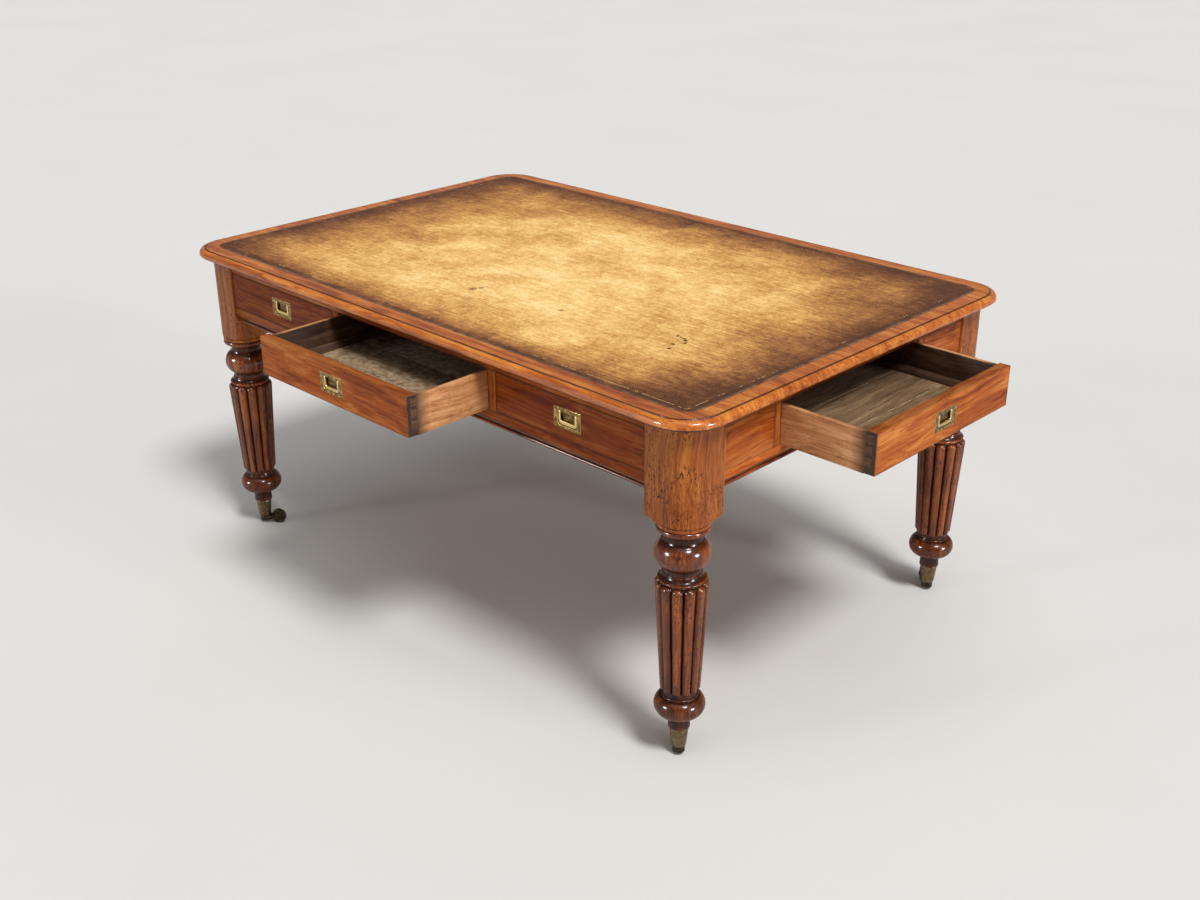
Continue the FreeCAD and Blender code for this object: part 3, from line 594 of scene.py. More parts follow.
def new_tree(name, sizes):
    """A tree with a geometry input, named inputs for its sizes, and a geometry output."""
    tree = bpy.data.node_groups.new(name, "GeometryNodeTree")
    tree.interface.new_socket("Geometry", in_out="INPUT", socket_type="NodeSocketGeometry")
    tree.interface.new_socket("Geometry", in_out="OUTPUT", socket_type="NodeSocketGeometry")
    for size, kind in sizes.items():
        tree.interface.new_socket(size, in_out="INPUT", socket_type="NodeSocket" + kind)
    return tree, add(tree, "NodeGroupInput", out=None)


def close_tree(tree, geometry, material):
    """Ends a tree with its instances made real and painted."""
    real = add(tree, "GeometryNodeRealizeInstances", {0: geometry})
    painted = add(tree, "GeometryNodeSetMaterial", {"Geometry": real, "Material": material})
    add(tree, "NodeGroupOutput", {0: painted}, out=None)
    return tree


def grown(tree, source, values):
    """Runs a tree on a curve or mesh with its inputs set, and gives the result as a plain mesh."""
    holder = put("holder", source)
    modifier = holder.modifiers.new("grow", "NODES")
    modifier.node_group = tree
    sockets = {s.name: s.identifier for s in tree.interface.items_tree if s.in_out == "INPUT"}
    for name, value in values.items():
        modifier[sockets[name]] = value
    shown = holder.evaluated_get(bpy.context.evaluated_depsgraph_get())
    mesh = bpy.data.meshes.new_from_object(shown)
    holder.modifiers.remove(modifier)
    bpy.data.objects.remove(holder)
    return mesh


def rounded_path(tree, given):
    """A rectangle with rounded corners, from the tree's own inputs."""
    path = add(tree, "GeometryNodeCurvePrimitiveQuadrilateral", {
        "Width": given["Length"], "Height": given["Width"]}, mode="RECTANGLE")
    return add(tree, "GeometryNodeFilletCurve", {
        "Curve": path, "Count": given["Corner Steps"], "Radius": given["Corner Radius"]}, mode="POLY")


PATH_SIZES = {"Length": "Float", "Width": "Float", "Corner Radius": "Float", "Corner Steps": "Int"}


def moulded_edge_tree():
    """A section swept round a rectangle with rounded corners."""
    tree, given = new_tree("moulded_edge", PATH_SIZES)
    path = rounded_path(tree, given)
    swept = add(tree, "GeometryNodeCurveToMesh", {"Curve": path, "Profile Curve": given["Geometry"]})
    return close_tree(tree, swept, top_mahogany)


def tooled_line_tree():
    """One stamp repeated along a rounded rectangle, worn away more the further it is from one corner."""
    tree, given = new_tree("tooled_line", PATH_SIZES | {
        "Pitch": "Float", "Height": "Float", "Kept Corner": "Vector", "Fade Distance": "Float",
        "Near Share": "Float", "Far Share": "Float", "Unevenness": "Float", "Patch Scale": "Float",
        "Seed": "Int"})
    path = add(tree, "GeometryNodeResampleCurve", {
        "Curve": rounded_path(tree, given), "Length": given["Pitch"]}, mode="LENGTH")
    spot = add(tree, "GeometryNodeInputPosition")
    away = vector_maths(tree, "DISTANCE", spot, given["Kept Corner"])
    kept = spread(tree, away, 0, given["Fade Distance"], given["Near Share"], given["Far Share"])
    patch = add(tree, "TexNoise", {"Vector": spot, "Scale": given["Patch Scale"], "Detail": 3}, out="Fac")
    less = maths(tree, "MULTIPLY", given["Unevenness"], -1)
    chance = add(tree, "FunctionNodeRandomValue", {
        2: less, 3: given["Unevenness"], "Seed": given["Seed"]}, out=1)
    patch = maths(tree, "ADD", patch, chance)
    stays = add(tree, "FunctionNodeCompare", {0: patch, 1: kept}, operation="LESS_THAN")
    tangent = add(tree, "GeometryNodeInputTangent")
    turn = add(tree, "FunctionNodeAlignRotationToVector", {"Vector": tangent}, axis="X")
    stamps = add(tree, "GeometryNodeInstanceOnPoints", {
        "Points": path, "Selection": stays, "Instance": given["Geometry"], "Rotation": turn})
    lift = add(tree, "CombineXYZ", {2: given["Height"]})
    raised = add(tree, "GeometryNodeTransform", {"Geometry": stamps, "Translation": lift})
    return close_tree(tree, raised, gold_leaf)


def plate_screws_tree():
    """A screw head at each corner of a plate, each with its slot turned its own way."""
    tree, given = new_tree("plate_screws", {
        "Across": "Float", "Upright": "Float", "Centre": "Vector", "Facing": "Rotation", "Seed": "Int"})
    corners = add(tree, "GeometryNodeMeshGrid", {
        "Size X": given["Across"], "Size Y": given["Upright"], "Vertices X": 2, "Vertices Y": 2})
    slot_turn = add(tree, "FunctionNodeRandomValue", {
        0: (0, 0, 0), 1: (0, 0, math.pi), "Seed": given["Seed"]}, data_type="FLOAT_VECTOR")
    heads = add(tree, "GeometryNodeInstanceOnPoints", {
        "Points": corners, "Instance": given["Geometry"], "Rotation": slot_turn})
    placed = add(tree, "GeometryNodeTransform", {
        "Geometry": heads, "Translation": given["Centre"], "Rotation": given["Facing"]})
    return close_tree(tree, placed, handle_brass)


# Top board and leather

TOP_LOW, TOP_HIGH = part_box("top_board")
HIDE_LOW, HIDE_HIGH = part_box("leather_inset")
TOP_LENGTH = TOP_HIGH.x - TOP_LOW.x
TOP_WIDTH = TOP_HIGH.y - TOP_LOW.y
TOP_THICKNESS = (TOP_HIGH.z - TOP_LOW.z) / MM
HIDE_LENGTH = HIDE_HIGH.x - HIDE_LOW.x
HIDE_WIDTH = HIDE_HIGH.y - HIDE_LOW.y
TOP_CORNER = 90
BORDER = 51
RECESS = 1.5
CORE_INSET = 60
# Grime in the quirk and at the leather's edge, and painted shade in the hollow under the moulding
QUIRK_INSETS = (14.2, 16.6)
QUIRK_DEPTH = 2.5
LEATHER_SEAM = 0.6
SEAM_GRIME = 0.8
HOLLOW_INSET = 12
HOLLOW_DROP = 15.8
UNDERSIDE_PAINTED_SHADE = 0.92
# Hide: its corners, how far its surface lies under the top's, and the depth of its pressed lines
HIDE_CORNER = 12
HIDE_LEAST_CORNER = 1.5
HIDE_SINK = 0.25
PRESSED_DEPTH = 0.3
# Gold stamps
STAMP_LONG = 4.2
STAMP_WIDE = 3.0
STAMP_HIGH = 0.12
STAMP_CROWN_SHARE = 0.7
STAMP_PITCH = 4.6
STAMP_INSET = 18.5
STAMP_CORNER = 6
STAMP_SINK = 0.26
# Where the gold is best kept, in from the right edge and out from the front edge, and how far it lasts
KEPT_IN = 120
KEPT_OUT = 50
KEPT_REACH = 420


def top_section():
    """Section of the moulded edge: in from the edge and down from the surface, in millimetres."""
    return outline_of(
        (CORE_INSET, RECESS), (BORDER, RECESS), (BORDER, 0.4), (BORDER - 0.4, 0), (BORDER - 3, 0),
        (18.4, 0), (16.4, 0), (15.6, 1.6, 15.9, 0.5, 3), (15.0, 2.2), (14.3, 2.0), (10.6, 1.5, 12.4, 1.0, 4),
        (0.3, 12.0, 3.4, 5.0, 9), (0, 12.8), (0, 15.6), (0.4, 16.0), (2.4, 16.2),
        (10.4, TOP_THICKNESS - 0.3, 4.8, 20.0, 6), (11, TOP_THICKNESS), (CORE_INSET, TOP_THICKNESS))


def edge_inset(spot):
    """How far a point lies inside the rounded outline of the top, in millimetres."""
    radius = TOP_CORNER * MM
    past_x = abs(spot.x) - (TOP_LENGTH / 2 - radius)
    past_y = abs(spot.y) - (TOP_WIDTH / 2 - radius)
    if past_x > 0 and past_y > 0:
        return (radius - math.hypot(past_x, past_y)) / MM
    return (radius - max(past_x, past_y)) / MM


def make_top():
    """The top board, its moulding swept round its edge, its faces filled in and shade painted under it."""
    section = bpy.data.curves.new("edge_section", "CURVE")
    section.dimensions = "2D"
    spline = section.splines.new("POLY")
    points = top_section()
    spline.points.add(len(points) - 1)
    for point, (inset, down) in zip(spline.points, points):
        point.co = (-inset * MM, down * MM, 0, 1)
    ring = grown(moulded_edge_tree(), section, {
        "Length": TOP_LENGTH, "Width": TOP_WIDTH, "Corner Radius": TOP_CORNER * MM, "Corner Steps": 20})
    bm = new_mesh()
    bm.from_mesh(ring)
    bmesh.ops.translate(bm, verts=bm.verts, vec=(0, 0, TOP_HIGH.z))
    bmesh.ops.holes_fill(bm, edges=bm.edges)
    bmesh.ops.recalc_face_normals(bm, faces=bm.faces)
    lay_grain(bm, bm.verts, Vector((1, 0, 0)))
    shade = bm.verts.layers.float["shade"]
    for vert in bm.verts:
        inset = edge_inset(vert.co)
        in_seam = QUIRK_INSETS[0] < inset < QUIRK_INSETS[1] or inset > BORDER - LEATHER_SEAM
        if in_seam and vert.co.z > TOP_HIGH.z - QUIRK_DEPTH * MM:
            vert[shade] = SEAM_GRIME
        elif inset < HOLLOW_INSET and vert.co.z < TOP_HIGH.z - HOLLOW_DROP * MM:
            vert[shade] = UNDERSIDE_PAINTED_SHADE
    piece(bm, "moulded_top", [top_mahogany], "desk", ["top_board"], smooth_angle=35)


def make_hide():
    """The hide as one thin skin with two lines pressed in near its edge."""
    half_x = HIDE_LENGTH / 2
    half_y = HIDE_WIDTH / 2
    surface = HIDE_HIGH.z - HIDE_SINK * MM
    pressed = surface - PRESSED_DEPTH * MM
    steps = [(0, HIDE_LOW.z), (0, surface - 0.5 * MM), (0.3, surface - 0.1 * MM), (0.9, surface),
             (15.2, surface), (15.8, pressed), (16.6, surface), (20.4, surface), (21.2, pressed),
             (22.0, surface), (60, surface)]
    bm = new_mesh()
    loops = []
    for inset, height in steps:
        gap = inset * MM
        radius = max(HIDE_CORNER * MM - gap, HIDE_LEAST_CORNER * MM)
        spots = rounded_corners(half_x - gap, half_y - gap, radius, steps=8)
        loops.append([bm.verts.new((x, y, height)) for x, y in spots])
    skin(bm, loops)
    hide = piece(bm, "leather_writing_surface", [hide_leather("worn_tan_hide", half_x, half_y)], "desk",
                 ["leather_inset"])


def make_tooling():
    """Gold stamps along the hide's border, brightest near its front right corner."""
    long, wide = STAMP_LONG / 2 * MM, STAMP_WIDE / 2 * MM
    bm = new_mesh()
    foot = [bm.verts.new((x, y, 0)) for x, y in ((long, 0), (0, wide), (-long, 0), (0, -wide))]
    crown = [bm.verts.new((v.co.x * STAMP_CROWN_SHARE, v.co.y * STAMP_CROWN_SHARE, STAMP_HIGH * MM))
             for v in foot]
    skin(bm, [foot, crown])
    inset = STAMP_INSET * MM
    line = grown(tooled_line_tree(), to_mesh(bm, "stamp"), {
        "Length": HIDE_LENGTH - inset * 2, "Width": HIDE_WIDTH - inset * 2,
        "Corner Radius": STAMP_CORNER * MM, "Corner Steps": 6, "Pitch": STAMP_PITCH * MM,
        "Height": HIDE_HIGH.z - STAMP_SINK * MM, "Fade Distance": KEPT_REACH * MM,
        "Kept Corner": (HIDE_HIGH.x - KEPT_IN * MM, HIDE_LOW.y - KEPT_OUT * MM, 0),
        "Near Share": 0.66, "Far Share": 0.33, "Unevenness": 0.14, "Patch Scale": per_mm(45), "Seed": 7})
    made = put("gold_tooled_line", line)
    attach(made, "desk")


# Legs

REEDS = 12
STEPS_PER_REED = 12
LEG_STEPS = REEDS * STEPS_PER_REED
BLOCK = 107
BLOCK_CORNER = 52
BLOCK_EASING = 1.8
BLOCK_TOP = 738
BLOCK_FOOT = 541
NECK_TOP = 532
NECK_RADIUS = 52.8
COLLAR_TOP = 523
COLUMN_TOP = 403
COLUMN_FOOT = 160
COLUMN_TOP_RADIUS = 54
COLUMN_FOOT_RADIUS = 40.5
REED_DEPTH_SHARE = 0.19
REED_DOME = 10
REED_FOOT = 2
REED_ROWS = 16
SHOULDER_ROWS = 10
# Powers that shape a reed's round and the fade of the grime and painted shade up its sides
REED_ROUND = 2.1
GROOVE_FADE = 1.6
FOOT_FADE = 2.2
# Grime and painted shade in hollows of the turning and in the grooves; grime on the reeds and in the scribed
# line; a darker foot
HOLLOW_REACH = 4
HOLLOW_SHADE_AND_GRIME = 0.75
HOLLOW_GAIN = 1.6
OPEN_SLOPE = 0.25
COLUMN_GRIME = 0.06
GROOVE_SHADE_AND_GRIME = 0.93
SCRIBED_DEPTH = 1.3
SCRIBED_GRIME = 0.6
FOOT_DARKENING = 0.42


def block_radius(turn):
    """Distance from the axis to the block's side, with its outer corner rounded and the others eased."""
    half = BLOCK / 2
    across, upright = math.cos(turn), math.sin(turn)
    radius = min(half / max(abs(across), abs(upright)), half * math.sqrt(2) - BLOCK_EASING)
    centre = half - BLOCK_CORNER
    lean = centre * (across + upright)
    rounded = lean + math.sqrt(max(lean * lean - 2 * centre * centre + BLOCK_CORNER * BLOCK_CORNER, 0))
    if min(rounded * across, rounded * upright) >= centre:
        radius = min(radius, rounded)
    return radius


def upper_turning():
    """Outline from the neck down to the top of the reeds: radius and height."""
    return outline_of(
        (NECK_RADIUS, NECK_TOP), (52.1, 531.6), (52.0, 530.8), (52.7, 530.2), (NECK_RADIUS, 524.2),
        (51.7, COLLAR_TOP, 52.5, 523.4, 2), (49.9, COLLAR_TOP - 0.2), (49.8, 522.2),
        (49.8, 510.6, 53.3, 516.4, 12), (49.0, 510.1), (43.4, 510.0), (42.2, 509.2),
        (39.0, 488.8, 36.6, 498.6, 10), (40.8, 488.4), (41.4, 487.4),
        (40.4, 435.0, 54.7, 460.8, 22), (39.0, 434.2), (38.2, 433.0), (37.4, 422.8, 36.8, 427.6, 5),
        (38.4, 418.4, 39.4, 420.6, 5), (46.6, 409.8, 41.4, 413.2, 6), (47.6, 406.6, 48.0, 408.2, 4),
        (46.6, 405.4), (46.0, 403.4))


def lower_turning():
    """Outline from the foot of the reeds to the peg in the caster cup."""
    return outline_of(
        (33.0, COLUMN_FOOT - 0.4), (34.2, 148.4, 32.6, 153.6, 5), (36.2, 147.6),
        (36.6, 143.0, 37.5, 145.4, 5), (36.8, 142.2), (39.4, 142.0), (40.8, 141.4),
        (28.4, 98.2, 51.5, 120.0, 22), (25.2, 97.4), (22.8, 96.2), (22.4, 70.4, 21.7, 84, 6), (22.2, 68.0),
        (21.4, 67.4), (18.2, 67.3), (13.4, 28.2))


def hollow_shade_and_grime(outline, radius, height):
    """Painted shade and grime at a point of an outline, darker the deeper it lies between neighbours."""
    steepest = max((r - radius) / (abs(z - height) + HOLLOW_REACH) for r, z in outline)
    return min(HOLLOW_SHADE_AND_GRIME, max(0.0, (steepest - OPEN_SLOPE) * HOLLOW_GAIN))


def reed_heights():
    """Heights down the reeded column, closer together over the domed tops and the cut feet."""
    dome_top = COLUMN_TOP - 0.6
    dome_foot = COLUMN_TOP - 1 - REED_DOME
    plain_foot = COLUMN_FOOT + 6
    rows = [dome_top - i * (dome_top - dome_foot) / REED_ROWS for i in range(REED_ROWS + 1)]
    rows += [dome_foot + (plain_foot - dome_foot) * i / REED_ROWS for i in range(1, REED_ROWS + 1)]
    rows += [COLUMN_FOOT + 3, COLUMN_FOOT + 1.4, COLUMN_FOOT + 0.5]
    return rows, dome_foot


def reed_row(height, dome_foot):
    """A row through the reeds: its height, and its radius, grime and painted shade at each turn."""
    share = (height - COLUMN_FOOT) / (COLUMN_TOP - COLUMN_FOOT)
    full = COLUMN_FOOT_RADIUS + (COLUMN_TOP_RADIUS - COLUMN_FOOT_RADIUS) * share
    base = full * (1 - REED_DEPTH_SHARE)
    dome = max(0.0, (height - dome_foot) / REED_DOME)
    foot = math.sqrt(min(1.0, max(0.0, (height - COLUMN_FOOT) / REED_FOOT)))
    radii, shades_and_grimes = [], []
    for i in range(LEG_STEPS):
        across = abs(((i / STEPS_PER_REED + 0.5) % 1) * 2 - 1)
        ridge = math.sqrt(max(0.0, 1 - across ** REED_ROUND))
        swell = math.sqrt(max(0.0, 1 - across ** REED_ROUND - dome * dome)) * foot
        radii.append(base + full * REED_DEPTH_SHARE * swell)
        depth = 1 - min(ridge ** GROOVE_FADE, swell * FOOT_FADE, 1.0)
        shades_and_grimes.append(COLUMN_GRIME + (GROOVE_SHADE_AND_GRIME - COLUMN_GRIME) * depth)
    return height, radii, shades_and_grimes


def leg_rows():
    """Every row of a leg from top to foot: its height, and its radius, grime and painted shade at each turn.
    """
    turns = [math.tau * i / LEG_STEPS for i in range(LEG_STEPS)]
    square = [block_radius(turn) for turn in turns]
    clean = [0.0] * LEG_STEPS
    reach = BLOCK / 2 * math.sqrt(2)
    rows = [(height, square, clean)
            for height in (BLOCK_TOP, BLOCK_TOP - 60, BLOCK_TOP - 120, BLOCK_FOOT + 2)]
    for i in range(SHOULDER_ROWS):
        height = BLOCK_FOOT + (NECK_TOP - BLOCK_FOOT) * i / SHOULDER_ROWS
        cone = NECK_RADIUS + (reach - NECK_RADIUS) * (height - NECK_TOP) / (BLOCK_FOOT - NECK_TOP)
        rows.append((height, [min(r, cone) for r in square], clean))
    outline = upper_turning()
    for radius, height in outline:
        scribed = SCRIBED_GRIME if NECK_TOP - SCRIBED_DEPTH < height < NECK_TOP else 0.0
        shade_and_grime = max(scribed, hollow_shade_and_grime(outline, radius, height))
        rows.append((height, [radius] * LEG_STEPS, [shade_and_grime] * LEG_STEPS))
    heights, dome_foot = reed_heights()
    rows += [reed_row(height, dome_foot) for height in heights]
    outline = lower_turning()
    for radius, height in outline:
        # The foot is set darker all over, with painted shade and grime in its hollows
        shade_and_grime = max(FOOT_DARKENING, hollow_shade_and_grime(outline, radius, height))
        rows.append((height, [radius] * LEG_STEPS, [shade_and_grime] * LEG_STEPS))
    return turns, rows


def make_leg(leg, turns, rows):
    """A leg in one skin: the square block above, the dark turned and reeded work below."""
    node = "leg_" + leg
    low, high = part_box(node)
    axis = (low + high) / 2
    outward = math.radians(LEG_TURNS[leg])
    bm = new_mesh()
    shade = bm.verts.layers.float["shade"]
    rings = []
    for height, radii, shades_and_grimes in rows:
        ring = []
        for turn, radius, shade_and_grime in zip(turns, radii, shades_and_grimes):
            x = axis.x + radius * MM * math.cos(turn + outward)
            y = axis.y + radius * MM * math.sin(turn + outward)
            vert = bm.verts.new((x, y, height * MM))
            vert[shade] = shade_and_grime
            ring.append(vert)
        rings.append(ring)
    skin(bm, rings)
    lay_grain(bm, bm.verts, UP)
    for face in bm.faces:
        face.material_index = 0 if face.calc_center_median().z > COLLAR_TOP * MM else 1
    piece(bm, "turned_leg_" + leg, [block_mahogany, turned_mahogany], "desk", [node],
          smooth_angle=40)


# Casters

CUP_SEGMENTS = 48
WHEEL_SEGMENTS = 56


def make_cups():
    """Tapered brass cups with a rolled rim, one on each leg."""
    outline = outline_of(
        (4.2, 21.0), (12.4, 21.0), (15.2, 24.2, 14.3, 21.9, 4), (19.4, 61.4), (19.5, 62.4),
        (19.7, 67.0, 20.4, 64.6, 6), (18.7, 67.0), (18.6, 66.0), (14.0, 28.0), (4.2, 28.0))
    bm = new_mesh()
    for leg in LEG_TURNS:
        low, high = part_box("leg_" + leg)
        axis = (low + high) / 2
        turned(bm, outline, CUP_SEGMENTS, Matrix.Translation((axis.x, axis.y, 0)))
    piece(bm, "brass_caster_cups", [caster_brass], "desk", ["caster_cups"], smooth_angle=40)


def make_wheel(leg):
    """A brass wheel with a hub, a thinner web and a rounded tread."""
    node = "caster_wheel_" + leg
    joint = next(j for j in frame["joints"] if j["child"] == "wheel_" + leg)
    low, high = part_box(node)
    half = outline_of(
        (2.7, 6.5), (6.6, 6.5), (7.2, 6.0), (7.6, 5.0), (13.4, 5.0), (14.0, 5.6), (14.6, 6.3), (16.4, 6.5),
        (19.0, 3.6, 18.3, 5.6, 5))
    outline = half + [(r, -z) for r, z in reversed(half)]
    turn = UP.rotation_difference(Vector(joint["axis"])).to_matrix().to_4x4()
    bm = new_mesh()
    turned(bm, outline, WHEEL_SEGMENTS, Matrix.Translation((low + high) / 2) @ turn)
    piece(bm, "brass_wheel_" + leg, [wheel_brass], "wheel_" + leg, [node], smooth_angle=40)


def make_fork(leg):
    """The fork and axle of a caster, their edges eased."""
    bm = from_node("caster_fork_" + leg)
    soften(bm, radius=0.5)
    piece(bm, "brass_fork_" + leg, [wheel_brass], "fork_" + leg, ["caster_fork_" + leg])


# Frame under the top

SIDEWAYS = [Vector(way) for way in ((1, 0, 0), (-1, 0, 0), (0, 1, 0), (0, -1, 0))]
# Painted shade and grime round board faces, standing in for the shadowed gaps between parts
OUTLINE_WIDTH = 3
OUTLINE_GRIME_AND_SHADE = 0.6


def line_edges(bm, ways):
    """Grime and painted shade along the outline of each board's faces that look one of the given ways."""
    shade = bm.verts.layers.float["shade"]
    width = OUTLINE_WIDTH * MM
    for verts in solids_of(bm):
        low, high = corners_of(verts)
        broad = [i for i in range(3) if high[i] - low[i] > width * 4]
        board = set(verts)
        geometry = verts + [part for part in (*bm.edges, *bm.faces) if part.verts[0] in board]
        for i in broad:
            across = along_axis(i)
            for level in (low[i] + width, high[i] - width):
                geometry = bmesh.ops.bisect_plane(
                    bm, geom=geometry, plane_co=across * level, plane_no=across)["geom"]
        for face in geometry:
            if not isinstance(face, bmesh.types.BMFace):
                continue
            if max(face.normal.dot(way) for way in ways) < EXACTLY:
                continue
            flat = [i for i in broad if abs(face.normal[i]) < 0.5]
            for vert in face.verts:
                if any(min(vert.co[i] - low[i], high[i] - vert.co[i]) < width / 2 for i in flat):
                    vert[shade] = OUTLINE_GRIME_AND_SHADE


def make_joinery(node, material, radius, outlined=False):
    """Boards copied from a CAD node, with eased edges and grain along each."""
    bm = from_node(node)
    for verts in solids_of(bm):
        low, high = corners_of(verts)
        lay_grain(bm, verts, along_axis(main_axis(high - low)))
    soften(bm, radius)
    # Grime and painted shade round the outward faces
    if outlined:
        line_edges(bm, SIDEWAYS)
    piece(bm, node + "_joinery", [material], "desk", [node])


# Drawers

BOTTOM_BOARD = 118
BOTTOM_MOST_THICKNESS = 8
BOARD_SEAM = 0.8
SLIP_HEIGHT = 24
# Which wood each front is cut from, from dark to light; the front-left and front-right fronts are set darkest
# as painted shade
FRONT_BOARD_TONES_AND_SHADE = {"front_left": 0.0, "front_middle": 0.66, "front_right": 0.1, "back_left": 0.45,
                "back_middle": 0.6, "back_right": 0.52, "left_end": 0.74, "right_end": 0.74}
SIDE_BOARDS = (0.8, 1.0)
BOTTOM_BOARDS = (0.6, 1.0)
# Grime behind the front: full so far back, gone so far back, and its depth
GRIME_FULL = 16
GRIME_REACH = 48
GRIME_DEPTH = 0.84
TOP_EDGE_GRIME = 0.36
# Pale dust on the front-middle drawer's bottom, which is also painted light
BOTTOM_DUST_AND_LIGHT = {"front_middle": 0.5}


def drawer_frame(drawer):
    """The drawer's own directions: across its front and out of the desk."""
    turn = Matrix.Rotation(math.radians(DRAWER_TURNS[drawer]), 3, "Z")
    return turn @ Vector((1, 0, 0)), turn @ Vector((0, -1, 0))


def make_drawer_front(drawer):
    """A polished front, bare behind and on its ends; grime and painted shade round its face, grime on its top
    edge.
    """
    node = "drawer_front_" + drawer
    across, out = drawer_frame(drawer)
    bm = from_node(node)
    lay_grain(bm, bm.verts, across, FRONT_BOARD_TONES_AND_SHADE[drawer])
    for face in bm.faces:
        if face.normal.dot(out) < -ROUGHLY or abs(face.normal.dot(across)) > ROUGHLY:
            face.material_index = 1
    soften(bm, radius=0.8)
    line_edges(bm, [out])
    shade = bm.verts.layers.float["shade"]
    for face in bm.faces:
        if face.normal.z > CLOSELY:
            for vert in face.verts:
                vert[shade] = TOP_EDGE_GRIME
    piece(bm, node + "_board", [frieze_mahogany, inside_wood], "drawer_" + drawer, [node])


def block_between(bm, low, high):
    """A box between two corners."""
    made = bmesh.ops.create_cube(bm, size=1)["verts"]
    size = high - low
    for vert in made:
        vert.co = Vector([low[i] + size[i] * (vert.co[i] + 0.5) for i in range(3)])
    return made


def faces_of(verts):
    """The faces round some points."""
    return {face for vert in verts for face in vert.link_faces}


def darken_front_ends(bm, node, out):
    """Grime on the sides where they meet the drawer front, fading out a short way behind it."""
    shade = bm.verts.layers.float["shade"]
    low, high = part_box(node)
    front = max(low.dot(out), high.dot(out))
    for back in (GRIME_FULL, GRIME_REACH):
        bmesh.ops.bisect_plane(bm, geom=[*bm.verts, *bm.edges, *bm.faces],
                               plane_co=out * (front - back * MM), plane_no=out)
    for vert in bm.verts:
        gap = (front - vert.co.dot(out)) / MM
        share = (GRIME_REACH - gap) / (GRIME_REACH - GRIME_FULL)
        vert[shade] = GRIME_DEPTH * min(1.0, max(0.0, share))


def lay_bottom(bm, drawer, low, high):
    """Loose boards side by side from the front to the back of a drawer bottom."""
    across, out = drawer_frame(drawer)
    way = main_axis(out)
    dust_and_light = bm.faces.layers.float["edge"]
    count = max(2, round((high[way] - low[way]) / (BOTTOM_BOARD * MM)))
    step = (high[way] - low[way]) / count
    for i in range(count):
        start, end = low.copy(), high.copy()
        start[way] = low[way] + step * i + BOARD_SEAM / 2 * MM
        end[way] = low[way] + step * (i + 1) - BOARD_SEAM / 2 * MM
        board = block_between(bm, start, end)
        lay_grain(bm, board, across, board_draws.uniform(*BOTTOM_BOARDS))
        for face in faces_of(board):
            face.material_index = 1
            face[dust_and_light] = BOTTOM_DUST_AND_LIGHT.get(drawer, 0.0)


def make_drawer_box(drawer):
    """Dovetailed sides, a low back, quadrant slips and a bottom of loose boards."""
    node = "drawer_box_" + drawer
    _, out = drawer_frame(drawer)
    bm = from_node(node)
    bottoms = []
    for verts in solids_of(bm):
        low, high = corners_of(verts)
        size = high - low
        if size.z < BOTTOM_MOST_THICKNESS * MM:
            bottoms.append((low, high))
            bmesh.ops.delete(bm, geom=verts, context="VERTS")
        else:
            lay_grain(bm, verts, along_axis(main_axis(size)), board_draws.uniform(*SIDE_BOARDS))
            if size.z < SLIP_HEIGHT * MM:
                for face in faces_of(verts):
                    face.material_index = 2
    darken_front_ends(bm, node, out)
    box_low, box_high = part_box(node)
    middle = (box_low + box_high) / 2
    # Inward faces take the dark inside wood, which is partly painted shade
    for face in bm.faces:
        inward = middle - face.calc_center_median()
        inward.z = 0
        if abs(face.normal.z) < ROUGHLY and face.normal.dot(inward) > 0:
            face.material_index = 2
    for low, high in bottoms:
        lay_bottom(bm, drawer, low, high)
    soften(bm, radius=0.6)
    piece(bm, node + "_boards", [lining_wood, bottom_wood, inside_wood], "drawer_" + drawer,
          [node])


# Flush handles

PLATE_MARGIN = 5.5
PLATE_LEAST_WIDTH = 20
POCKET_DEPTH = 2
POCKET_GRIME = 0.45
SCREW_RADIUS = 2.3
SCREW_HIGH = 0.35
SCREW_SLOT = 0.35
SCREW_SINK = 0.4
SCREW_RIM_SHARE = 0.4
SCREW_CROWN_SHARE = 0.86
SCREW_STEPS = 8
BAIL_HALF_WIDTH = 25.4
BAIL_BAR = 6.5
BAIL_FOOT_BAR = 8.5
BAIL_THICK = 5.0
BAIL_ROUND = 1.7
BAIL_BEND = 6.2
BAIL_END_SHARE = 0.82
BAIL_END_LENGTH = 0.7
BAIL_RUB = 0.85
PIN_SEGMENTS = 16


def screw_head():
    """A low screw head with a slot across it, facing +Z, seated at the origin."""
    radius, high, slot = SCREW_RADIUS * MM, SCREW_HIGH * MM, SCREW_SLOT * MM
    reach = math.asin(slot / radius)
    turns = [reach + (math.pi - 2 * reach) * i / SCREW_STEPS for i in range(SCREW_STEPS + 1)]
    bm = new_mesh()
    for side in (-1, 1):
        rim = [(radius * math.cos(turn), side * radius * math.sin(turn)) for turn in turns]
        crown = [(x * SCREW_CROWN_SHARE, y * SCREW_CROWN_SHARE + side * slot * (1 - SCREW_CROWN_SHARE))
                 for x, y in rim]
        levels = ((rim, -high), (rim, high * SCREW_RIM_SHARE), (crown, high))
        skin(bm, [[bm.verts.new((x, y, z)) for x, y in points] for points, z in levels])
    return to_mesh(bm, "screw_head")


